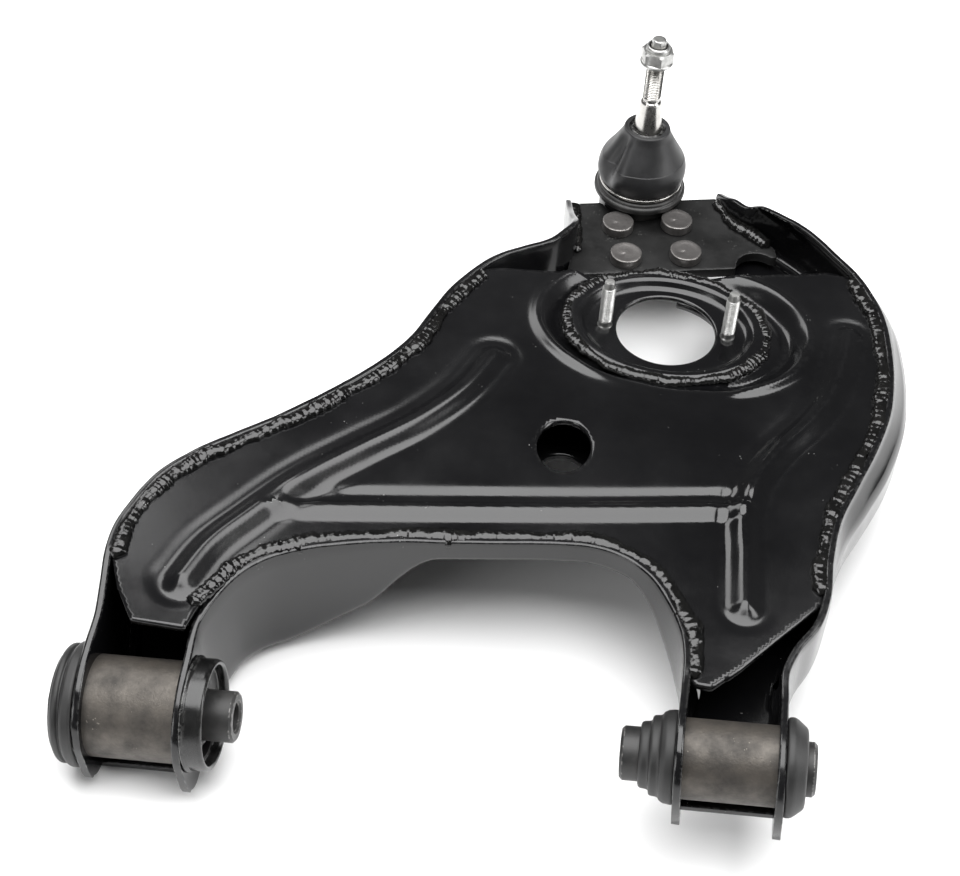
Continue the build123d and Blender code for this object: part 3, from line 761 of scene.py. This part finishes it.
# weld beads
weldSizes = {
    "step": 1.1, "around": 14, "lift": 1.0, "pitch": 5.0, "ripple": 0.04, "wander": 0.24, "grit": 0.07,
    "drift": 1.1,
    "wide": 1.25, "tall": 0.85, "fade": 5, "inward": 2.6,
}


def beadAlong(name, path, radius, seed, node, pitch=weldSizes["pitch"]):
    # a tube along the path whose radius swells once per ripple and wanders, flattened a little, plus fine
    # lumps
    w = weldSizes
    t = np.gradient(path, axis=0)
    t /= np.linalg.norm(t, axis=1)[:, None]
    side = np.cross(t, [0.0, 0.0, 1.0])
    side /= np.linalg.norm(side, axis=1)[:, None]
    up = np.cross(side, t)
    n, m = len(path), w["around"]
    s = np.arange(n) * w["step"]
    a = np.linspace(0, 2 * np.pi, m, endpoint=False)
    rng = np.random.default_rng(seed)
    ripple = 1 + w["ripple"] * np.sin(2 * np.pi * s / pitch + 2.4 * lumps(s, seed, 3, 9.0))
    wander = 1 + w["wander"] * lumps(s, seed + 1, 5, 6.0)
    grit = rng.normal(0, w["grit"], (n, m))
    grit = (grit + np.roll(grit, 1, 0) + np.roll(grit, 1, 1)) / 2
    end = np.minimum(smoothStep(s / w["fade"] + 0.15), smoothStep((s[-1] - s) / w["fade"] + 0.15))
    r = radius * (ripple * wander * end)[:, None] * (1 + grit)
    drift = w["drift"] * lumps(s, seed + 2, 4, 7.0)
    rings = (path + side * drift[:, None])[:, None] + r[..., None] * (
        w["wide"] * np.cos(a)[None, :, None] * side[:, None]
        + w["tall"] * np.sin(a)[None, :, None] * up[:, None]
    )
    return addPiece(name, *closedSweep(rings), finish["weldPaint"], "weld", stands=(node,) if node else (),
                    sharp=70)


def wallPath(line, low, high, left, right, height, inward=weldSizes["inward"]):
    # the corner between the plate and a wall: the wall's inner face at the plate's top, moved inward a little
    flat = leaned(line, height)
    keep = (line[:, 1] >= low) & (line[:, 1] <= high) & (line[:, 0] >= left) & (line[:, 0] <= right)
    p = flat[keep]
    t = np.gradient(p, axis=0)
    t /= np.linalg.norm(t, axis=1)[:, None]
    p = p - np.stack([-t[:, 1], t[:, 0]], -1) * inward
    path = smoothLine(np.column_stack([p, np.zeros(len(p)), np.zeros(len(p))]), weldSizes["step"])[:, :3]
    path[:, 2] = plateHeight(path[:, 0], path[:, 1]) + weldSizes["lift"] if height == top else height
    return path


top = plateSizes["top"]
noseTop = 19.5      # just above the joint plate
beadAlong("beadLeft", wallPath(leftLine, 74, 400, -60, 175, top), 4.0, 11, "weld_left")
beadAlong("beadRight", wallPath(rightLine, 126, 447, 380, 480, top), 4.2, 12, "weld_right")
beadAlong("beadArch", wallPath(archLine, 44, 200, 10, 345, top), 4.6, 13, "weld_arch")
beadAlong("beadNoseLeft", wallPath(leftLine, 470, 538, 190, 260, noseTop, 1.5), 3.8, 14, "weld_nose_left")
beadAlong("beadNoseRight", wallPath(rightLine, 505, 559, 300, 370, noseTop, 1.5), 4.6, 15, "weld_nose_right")
ringAngle = np.linspace(0, 2 * np.pi, 520, endpoint=False)
seatX, seatY = plateSizes["opening"][:2]
seatRing = np.stack([seatX + 72.5 * np.cos(ringAngle), seatY + 57 * np.sin(ringAngle), 46.6 + 0 * ringAngle],
                    -1)
beadAlong("beadSeat", seatRing, 3.6, 16, "weld_seat", 4.2)
print("weld beads made")

# shock seat and its studs
seatSizes = {"around": 160, "hole": 36.0, "floor": 43.0, "rim": 49.0, "studReach": 44.5, "studTurn": 3.0}


def makeSeat():
    # rings of half-axes (a, b) and height: down the hole, out under the floor, up the wall, over the rim and
    # back
    hole, floor, rim = seatSizes["hole"], seatSizes["floor"], seatSizes["rim"]
    section = np.array([
        (hole, hole, floor - 1.4), (hole + 0.7, hole + 0.7, floor - 0.3), (hole + 2, hole + 2, floor),
        (48, 40.5, floor), (56.5, 43.5, floor + 0.2), (59.5, 46, floor + 1.8), (61.5, 47.7, rim - 1.6),
        (63.5, 49.5, rim - 0.3), (66, 51.4, rim), (70.6, 54.9, rim - 0.1), (71.8, 55.9, rim - 1.2),
        (72, 56, rim - 4), (64.8, 50.3, rim - 4.2), (63, 49, floor - 2.6), (60.6, 47, floor - 4),
        (48, 40.5, floor - 4), (hole + 1.4, hole + 1.4, floor - 4), (hole, hole, floor - 3),
    ])
    a = np.linspace(0, 2 * np.pi, seatSizes["around"], endpoint=False)
    rows = np.concatenate([section, section[:1]])
    x = seatX + rows[:, :1] * np.cos(a)
    y = seatY + rows[:, 1:2] * np.sin(a)
    h = rows[:, 2:] + 0 * x
    addPiece("seatCup", *ringSkin(np.stack([x, y, h], -1)), finish["armPaint"], "arm_paint",
             stands=("shock_seat",),
             sharp=60)


makeSeat()
studTurn = math.radians(seatSizes["studTurn"])
studPlaces = [
    np.array([seatX + reach * math.cos(studTurn), seatY + reach * math.sin(studTurn), 0.0])
    for reach in (-seatSizes["studReach"], seatSizes["studReach"])
]
worldAxes = (np.array([1.0, 0, 0]), np.array([0, 1.0, 0]), np.array([0, 0, 1.0]))


def threadProfile(root, crestR, low, high, pitch):
    # radius rising and falling once per pitch, between the root and the crest
    h = np.arange(low, high, pitch / 6)
    wave = np.abs(((h - low) / pitch) % 1.0 - 0.5) * 2
    return np.stack([root + (crestR - root) * np.clip(wave * 1.5 - 0.25, 0, 1), h], -1)


def helical(pitch, low, high):
    # turns each ring of the thread's profile along the height by its angle, so the ridges climb as a screw
    def wobble(r, h, a):
        inside = (h > low) & (h < high)
        return r, np.where(inside, h + pitch * (a / (2 * np.pi) - 0.5), h)
    return wobble


studVerts = []
for place in studPlaces:
    profile = np.concatenate([
        roundCorners([(0, 34.2), (7.6, 34.2), (8, 35), (8, 39), (5.6, 39), (5.6, 43.1), (5.0, 44),
                      (4.9, 46)], 0.5),
        threadProfile(4.15, 4.95, 47.5, 78.5, 1.5), [(4.1, 79.3), (3.7, 80), (3.7, 83.0), (3.1, 83.8),
                                                     (0, 83.9)],
    ])
    studVerts.append(ringSkin(lathe((place, *worldAxes), profile, 40, helical(1.5, 47.6, 78.4))))
verts = np.concatenate([v for v, f in studVerts])
faces = studVerts[0][1] + (np.array(studVerts[1][1]) + len(studVerts[0][0])).tolist()
addPiece("seatStuds", verts, faces, finish["zinc"], "zinc", stands=("shock_studs",), sharp=50)
print("seat and studs made")


# ball joint
jointSizes = {
    "ahead": 58, "rivetAcross": 23.4, "rivetAhead": 18.7, "plateFront": 50.8, "plateTop": 18.0,
    "plateSheet": 8.0,
    "plateEdge": 0.8, "plateCell": 2.2, "housingHole": 31.0, "cornerNotch": (78, -34, 17.0),
    "ballR": 17.0, "ballZ": 16.0, "threadPitch": 1.5,
}
jointAt = np.array([*byNose(0, jointSizes["ahead"]), 0.0])
jointPlace = (jointAt, *worldAxes)
rivetSpots = [
    (across * jointSizes["rivetAcross"], ahead * jointSizes["rivetAhead"])
    for across in (-1, 1) for ahead in (-1, 1)
]


def rounded(points, radius, steps=4):
    # a list of corners, each replaced by a curve
    return roundCorners(np.array(points, float), radius, steps)


def latheMany(name, places, profile, material, slot, body="arm", stands=(), around=96, wobble=None,
              sharp=38.0):
    # the same profile turned about the axis of every place, as one piece
    verts, faces, start = [], [], 0
    for place in places:
        v, f = ringSkin(lathe(place, profile, around, wobble))
        verts.append(v)
        faces += (np.array(f) + start).tolist()
        start += len(v)
    return addPiece(name, np.concatenate(verts), faces, finish[material], slot, body, stands, sharp)


def makeJointPlate():
    # a sheet between the nose walls, cut square ahead, round behind the housing and round at one rear corner
    j = jointSizes
    left = leftLine[(leftLine[:, 1] > 462) & (leftLine[:, 0] > 190)][::2, :2]
    right = rightLine[(rightLine[:, 1] > 506) & (rightLine[:, 0] < 372)][::2, :2]
    loop = np.concatenate([left, right, [byNose(94, -33), byNose(-70, -33)]])
    notchU, notchV, notchR = j["cornerNotch"]

    def distance(x, y):
        u = (x - noseCentre[0]) * noseAcross[0] + (y - noseCentre[1]) * noseAcross[1]
        v = (x - noseCentre[0]) * noseAhead[0] + (y - noseCentre[1]) * noseAhead[1]
        d = edgeDistance(x, y, loop) - 1.0
        d = np.maximum(d, v - j["plateFront"])
        d = np.maximum(d, j["housingHole"] - np.hypot(x - jointAt[0], y - jointAt[1]))
        return np.maximum(d, notchR - np.hypot(u - notchU, v - notchV))

    verts, faces = trimmedSheet((190, 440), (390, 580), j["plateCell"], distance,
                                lambda x, y: j["plateTop"] + 0.12 * np.sin(x / 19) * np.sin(y / 23))
    piece = addPiece("jointPlateSkin", verts, faces, finish["platePaint"], "plate_paint",
                     stands=("ball_joint_plate",), outward=False)
    thicken(piece, j["plateSheet"], j["plateEdge"])


makeJointPlate()

# rivets: a drum head with a soft rim, slightly hollow top and an off-centre dimple, shank and tail
headProfile = np.concatenate([
    rounded([(0, -4), (9.5, -4), (9.5, 2), (6, 2), (6, 18), (12.2, 18), (12.2, 25.3), (10.6, 25.5)], 0.9),
    [(8.6, 25.1), (6, 24.95), (4, 24.9), (2, 24.9), (1, 24.9), (0, 24.9)],
])


def dimpled(r, h, a):
    # the top falls 0.7 mm as exp(-(d / 1.5)^2) round a point 3 mm off the centre; the side waves 0.1 mm,
    # five times
    away = np.hypot(r * np.cos(a) + 2.2, r * np.sin(a) + 2.2)
    return r + 0.10 * np.sin(5 * a) * (h > 19), h - 0.7 * np.exp(-(away / 1.5) ** 2) * (h > 24)


rivetPlaces = [(np.array([*byNose(*spot), 0.0]), *worldAxes) for spot in rivetSpots]
latheMany("rivetSet", rivetPlaces, headProfile, "rivetSteel", "rivet_steel", stands=("rivets",), around=72,
          wobble=dimpled, sharp=60)

# housing: a stepped ring over a barrel, lathed; its flange stays inside the nose
latheMany("housingRings", [jointPlace], rounded([
    (22, 30), (25, 42), (28.6, 42), (29, 38.5), (29.4, 35.0), (32.6, 34.2), (33.6, 33.2), (33.9, 32.0),
    (35.2, 31.4),
    (36, 30.2), (36, 27.6), (35, 26.5), (31.2, 26.1), (30.2, 24.2), (30.4, 20), (30.4, 10), (30, -2),
    (26, -8),
    (22, -8), (21.6, 4), (22, 30),
], 0.7), "housingPaint", "housing_steel", around=128)
flangeLoop = rounded([(-43, 0), (-43, 43), (43, 43), (43, -35), (-43, -35), (-43, 0)], 14, 8)[:-1]
flangeLoop = np.array([byNose(u, v) for u, v in flangeLoop])
towards = np.array(byNose(0, 4)) - flangeLoop
towards /= np.linalg.norm(towards, axis=1)[:, None]
flangeRings = [
    np.column_stack([flangeLoop + towards * inset, np.full(len(flangeLoop), height)])
    for height, inset in ((2.0, 1.2), (2.3, 0.5), (3.0, 0.0), (9.0, 0.0), (9.9, 0.6))
]
addPiece("housingFlange", *closedSweep(np.array(flangeRings)), finish["housingPaint"], "housing_steel",
         stands=("ball_joint_housing",))
latheMany("clampRing", [jointPlace], np.array([
    (31.7 + 0.75 * math.cos(t), 36.8 + 1.25 * math.sin(t)) for t in np.linspace(0, 2 * math.pi, 17)
]), "brightSteel", "bright_steel", stands=("boot_clamp_ring",), around=128)

# boot: a bulging cone with one soft pinch, split at a crease into a lower and an upper part
bootSizes = {
    "crease": 60.0, "wall": 1.8, "pinch": 4.2, "pinchAt": 3.85, "wave": 0.35, "freeFrom": 37, "freeOver": 49,
    "bendFrom": 38.5, "bendTo": 80.0,
}
bootOuter = np.array([
    (31.0, 35.0), (31.1, 37.6), (32.2, 39.4), (33.6, 43.0), (34.4, 48.0), (34.0, 53.0), (32.2, 58.0),
    (29.2, 63.0),
    (26.2, 68.0), (23.4, 73.0), (21.0, 77.5), (19.2, 81.0), (18.2, 84.0), (17.8, 85.6), (17.1, 86.3),
    (16.0, 86.2),
])


def bootShape(r, h, a):
    # radius less a narrow fold on one side, plus slow waves; full at the bulge, none at both rings
    s = bootSizes
    free = np.clip(np.sin(np.pi * np.clip((h - s["freeFrom"]) / s["freeOver"], 0, 1)), 0, 1)
    turn = np.angle(np.exp(1j * (a - s["pinchAt"])))
    fold = hump(turn, 0, 0.16) - 0.5 * hump(turn, 0.4, 0.22) - 0.3 * hump(turn, -0.4, 0.22)
    return r - s["pinch"] * fold * free + s["wave"] * np.sin(3 * a + h / 9) * free, h


def makeBoot():
    # the outer profile cut in two at the crease, each part closed by the same line moved in by the wall
    t = smoothLine(np.column_stack([bootOuter, bootOuter * 0]), 0.9)[:, :2]
    split = int(np.argmin(np.abs(t[:, 1] - bootSizes["crease"])))
    made = []
    for name, part in (("bootLower", t[:split + 1]), ("bootUpper", t[split:])):
        loop = np.concatenate([part, part[::-1] - np.array([bootSizes["wall"], 0.0]), part[:1]])
        made.append(latheMany(name, [jointPlace], loop, "bootRubber", "boot_rubber", body=None,
                              stands=("boot",) if name == "bootLower" else (), around=112, wobble=bootShape,
                              sharp=70))
    return made


lowerBoot, upperBoot = makeBoot()
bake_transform(lowerBoot)
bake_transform(upperBoot)

# steel ring in the boot's lip, round the taper
latheMany("lipRing", [jointPlace], rounded([
    (11.1, 81), (15.4, 81), (15.4, 85.4), (14.6, 85.5), (13.6, 84.6), (12.4, 84.4), (11.6, 85.2),
    (11.1, 85.2),
    (11.1, 81),
], 0.5), "collarPaint", "housing_steel", body="collar", stands=("boot_collar",), around=96)

# stud: ball, neck, ground taper, groove, thread, and a six-sided nose
studProfile = np.concatenate([
    [(jointSizes["ballR"] * math.sin(t), jointSizes["ballZ"] - jointSizes["ballR"] * math.cos(t))
     for t in np.linspace(0, 2.64, 30)],
    rounded([
        (8, 31.3), (8, 48), (11, 74), (10.95, 86), (8.0, 110.2), (7.3, 111.2), (6.3, 112.0), (6.3, 113.2),
        (6.9, 114),
    ], 0.5),
    threadProfile(5.95, 6.9, 114.6, 145.4, jointSizes["threadPitch"]), [(6.0, 146), (6.0, 161.6), (0, 161.6)],
])
latheMany("ballStud", [jointPlace], studProfile, "brightSteel", "bright_steel", body="stud",
          stands=("ball_stud",),
          around=72, wobble=helical(jointSizes["threadPitch"], 114.7, 145.3), sharp=45)


def sixSided(flat, turn):
    # radius cut to a regular hexagon, flat / cos(angle from the nearest flat's middle), turned a little
    def wobble(r, h, a):
        return np.minimum(r, flat / np.cos(np.angle(np.exp(6j * (a - turn))) / 6)), h
    return wobble


latheMany("studNose", [jointPlace],
          rounded([(0, 160), (5.6, 160.2), (5.6, 165.4), (4.9, 166.6), (3.6, 166.9), (0, 166.95)], 0.4),
          "zinc", "bright_steel", body="stud", around=96, wobble=sixSided(4.9, 0.3), sharp=25)

# nut: washer face, chamfered hexagon, then the crimped collar
latheMany("nutFlange", [jointPlace], rounded([
    (7.2, 146.05), (12.0, 146.05), (12.6, 146.6), (12.6, 147.6), (11.8, 148.6), (10.5, 149.2), (7.2, 149.2),
    (7.2, 146.05),
], 0.4), "zinc", "zinc", body="stud", around=96)
latheMany("nutHex", [jointPlace], np.array([
    (7.2, 148), (10.4, 148), (11.2, 148.2), (12.7, 149.2), (12.7, 156.6), (10.9, 158.0), (7.2, 158.1),
    (7.2, 148),
]), "zinc", "zinc", body="stud", stands=("stud_nut",), around=144, wobble=sixSided(11.0, 0.3), sharp=24)


def crimped(r, h, a):
    # two dents 0.55 mm deep on opposite sides, above the hexagon
    return r - 0.55 * np.exp(-(np.angle(np.exp(2j * a)) / 2 / 0.45) ** 2) * (h > 158.5) * (r > 8), h


latheMany("nutCollar", [jointPlace], rounded([
    (7.0, 157.6), (9.6, 157.6), (9.3, 158.4), (9.3, 160.4), (8.4, 161.5), (7.2, 161.7), (7.0, 161.0),
    (7.0, 157.6),
], 0.5), "zinc", "zinc", body="stud", around=96, wobble=crimped)
print("ball joint made")

# bushings
bushingSizes = {
    "largeOuter": (32.0, 29.05, -33.4, 33.4), "largeInner": (16.0, 9.2, -56.0, 61.0),
    "smallOuter": (24.5, 22.05, -32.6, 32.6), "smallInner": (16.5, 9.2, -66.0, 51.0),
    "smallRubber": (21.95, 16.6, -32.5, 32.5), "voidDepth": 12.0, "voidSpread": 0.30,
}
largePlace = (np.zeros(3), acrossPivot, pivotUp, pivotAxis)
smallPlace = (smallCentre, acrossPivot, pivotUp, pivotAxis)


def sleeved(name, place, outer, inner, low, high, material, slot, node, body="arm", edge=0.8):
    # a tube whose ends are chamfered
    loop = [(inner, low + edge), (inner + edge, low), (outer - edge, low), (outer, low + edge)]
    loop += [(outer, low + edge + (high - low - 2 * edge) * k / 8) for k in range(1, 8)]
    loop += [(outer, high - edge), (outer - edge, high), (inner + edge, high), (inner, high - edge),
             (inner, low + edge)]
    return latheMany(name, [place], np.array(loop), material, slot, body=body, stands=(node,), around=128)


b = bushingSizes
sleeved("largeOuterSleeve", largePlace, *b["largeOuter"], "sleeveSteel", "sleeve_steel", "large_outer_sleeve")
sleeved("largeInnerSleeve", largePlace, *b["largeInner"], "coreSteel", "core_steel", "large_inner_sleeve",
        "large_core", 1.5)
sleeved("smallOuterSleeve", smallPlace, *b["smallOuter"], "sleeveSteel", "sleeve_steel", "small_outer_sleeve")
sleeved("smallInnerSleeve", smallPlace, *b["smallInner"], "coreSteel", "core_steel", "small_inner_sleeve",
        "small_core", 1.8)


def voided(r, h, a):
    # two kidney voids: the end face sinks where the angle is near up or down and the radius is between the
    # two walls
    gap = (np.exp(-((np.abs(np.sin(a)) - 1) / b["voidSpread"]) ** 4)
           * smoothStep((r - 18.2) / 1.6) * smoothStep((27.6 - r) / 1.6))
    return r, h - b["voidDepth"] * gap * (h > 38)


endFace = ([(16.1, 40.6)] + [(r, 41.4 - 0.5 * abs(r - 22) / 6) for r in np.linspace(16.8, 28.6, 22)]
           + [(28.95, 40.6)])
rubberLoop = [(28.95, -33.2), (16.1, -33.2), (16.1, 0), (16.1, 30), *endFace, (28.95, 30), (28.95, 0),
              (28.95, -33.2)]
latheMany("largeRubber", [largePlace], np.array(rubberLoop), "bushRubber", "bush_rubber",
          stands=("large_rubber",), around=160, wobble=voided, sharp=50)
latheMany("largeFlange", [largePlace], rounded([
    (16.2, -33.6), (38.4, -33.6), (39.4, -34.6), (39.4, -39.4), (38.4, -41.0), (36.6, -41.6), (36.4, -42.6),
    (37.6, -43.6), (37.6, -46.0), (36.4, -47.6), (33.6, -48.4), (33.0, -49.8), (24.0, -50), (20.5, -49.2),
    (18.0, -47.6), (16.2, -47.4), (16.2, -33.6),
], 0.9), "bushRubber", "bush_rubber", stands=("large_rubber_flange",), around=128)
latheMany("largeCollar", [largePlace], rounded([
    (29.0, 33.6), (36.4, 33.6), (36.6, 35.0), (35.0, 36.4), (35.0, 45.0), (34.2, 46.6), (33.0, 47.4),
    (31.6, 47.0),
    (31.0, 45.4), (30.6, 40.6), (29.0, 40.2), (29.0, 33.6),
], 0.9), "collarPaint", "collar_steel", stands=("large_collar",), around=128)

sleeved("smallRubber", smallPlace, *b["smallRubber"], "bushRubber", "bush_rubber", "small_rubber")
latheMany("smallSteps", [smallPlace], rounded([
    (16.65, -32.8), (28.3, -32.8), (28.5, -34.4), (28.0, -38.6), (26.4, -41.4), (25.0, -42.0), (24.4, -43.4),
    (24.2, -46.6), (23.4, -47.8), (21.0, -48.2), (20.4, -49.6), (20.2, -52.6), (19.4, -54.2), (17.4, -54.8),
    (16.65, -54.4), (16.65, -32.8),
], 1.0), "bushRubber", "bush_rubber", stands=("small_stepped_rubber",), around=128)
latheMany("smallFlange", [smallPlace], rounded([
    (16.65, 32.8), (29.2, 32.8), (30.0, 33.8), (30.0, 36.8), (29.0, 38.6), (24.6, 44.2), (22.8, 45.2),
    (18.2, 45.2),
    (16.65, 44.6), (16.65, 32.8),
], 1.2), "bushRubber", "bush_rubber", stands=("small_rubber_flange",), around=128)
print("bushings made")

carried = {
    "bearing_liner": "linerPlastic", "lower_bearing": "linerPlastic", "preload_washer": "brightSteel",
    "end_cap": "housingPaint",
}

# pieces kept as they are, floor, light and camera
for node, name in carried.items():
    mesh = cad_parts[node].data
    mesh.materials.clear()
    mesh.materials.append(finish[name])

studio = {
    "eye": (0.2626, -0.7470, 1.0381), "turn": (44.592, -3.130, 8.136), "lens": 76.875,
    "floorDrop": 0.0006, "floorReach": 6, "world": 0.10,
}
lights = {      # place, aim, size, power
    "overhead": ((0.15, 0.25, 2.2), (0.15, 0.25, 0), (2.6, 2.5), 122),
    "backLeft": ((-0.95, 1.45, 1.35), (0.05, 0.2, 0), (0.9, 0.8), 10),
    "frontLeft": ((-1.2, -1.3, 0.9), (0.1, 0.1, 0), (1.0, 1.0), 12),
    "right": ((1.9, 0.2, 0.9), (0.4, 0.3, 0), (0.7, 1.4), 18),
}


def addCamera():
    # a long lens from in front and above
    data = bpy.data.cameras.new("viewCamera")
    data.lens = studio["lens"]
    data.sensor_width = 36.0
    data.clip_start = 0.05
    camera = bpy.data.objects.new("viewCamera", data)
    camera.location = studio["eye"]
    camera.rotation_euler = [math.radians(a) for a in studio["turn"]]
    bpy.context.scene.collection.objects.link(camera)
    bpy.context.scene.camera = camera


def addLight(name, place, aim, size, power):
    # a rectangular light at a place, turned to its aim
    data = bpy.data.lights.new(name, "AREA")
    data.shape = "RECTANGLE"
    data.size, data.size_y = size
    data.energy = power
    lamp = bpy.data.objects.new(name, data)
    lamp.location = place
    lamp.rotation_euler = (Vector(aim) - Vector(place)).to_track_quat("-Z", "Y").to_euler()
    bpy.context.scene.collection.objects.link(lamp)


def addFloor():
    # a wide level sheet just under the lowest point
    low = cadBox[0][2] - studio["floorDrop"]
    mesh = bpy.data.meshes.new("studioFloor")
    reach = studio["floorReach"]
    corners = [(-reach, -reach, low), (reach, -reach, low), (reach, reach, low), (-reach, reach, low)]
    mesh.from_pydata(corners, [], [(0, 1, 2, 3)])
    pale = bpy.data.materials.new("paleFloor")
    pale.use_nodes = True
    shader = pale.node_tree.nodes["Principled BSDF"]
    shader.inputs["Base Color"].default_value = (0.93, 0.93, 0.93, 1)
    shader.inputs["Roughness"].default_value = 0.9
    mesh.materials.append(pale)
    floor = bpy.data.objects.new("studioFloor", mesh)
    bpy.context.scene.collection.objects.link(floor)


addCamera()
addFloor()
bpy.context.scene.view_settings.view_transform = "Standard"
world = bpy.data.worlds.new("studioWorld")
bpy.context.scene.world = world
world.use_nodes = True
grey = studio["world"]
world.node_tree.nodes["Background"].inputs[0].default_value = (grey, grey, grey, 1)
for name, setting in lights.items():
    addLight(name, *setting)
print("studio ready")
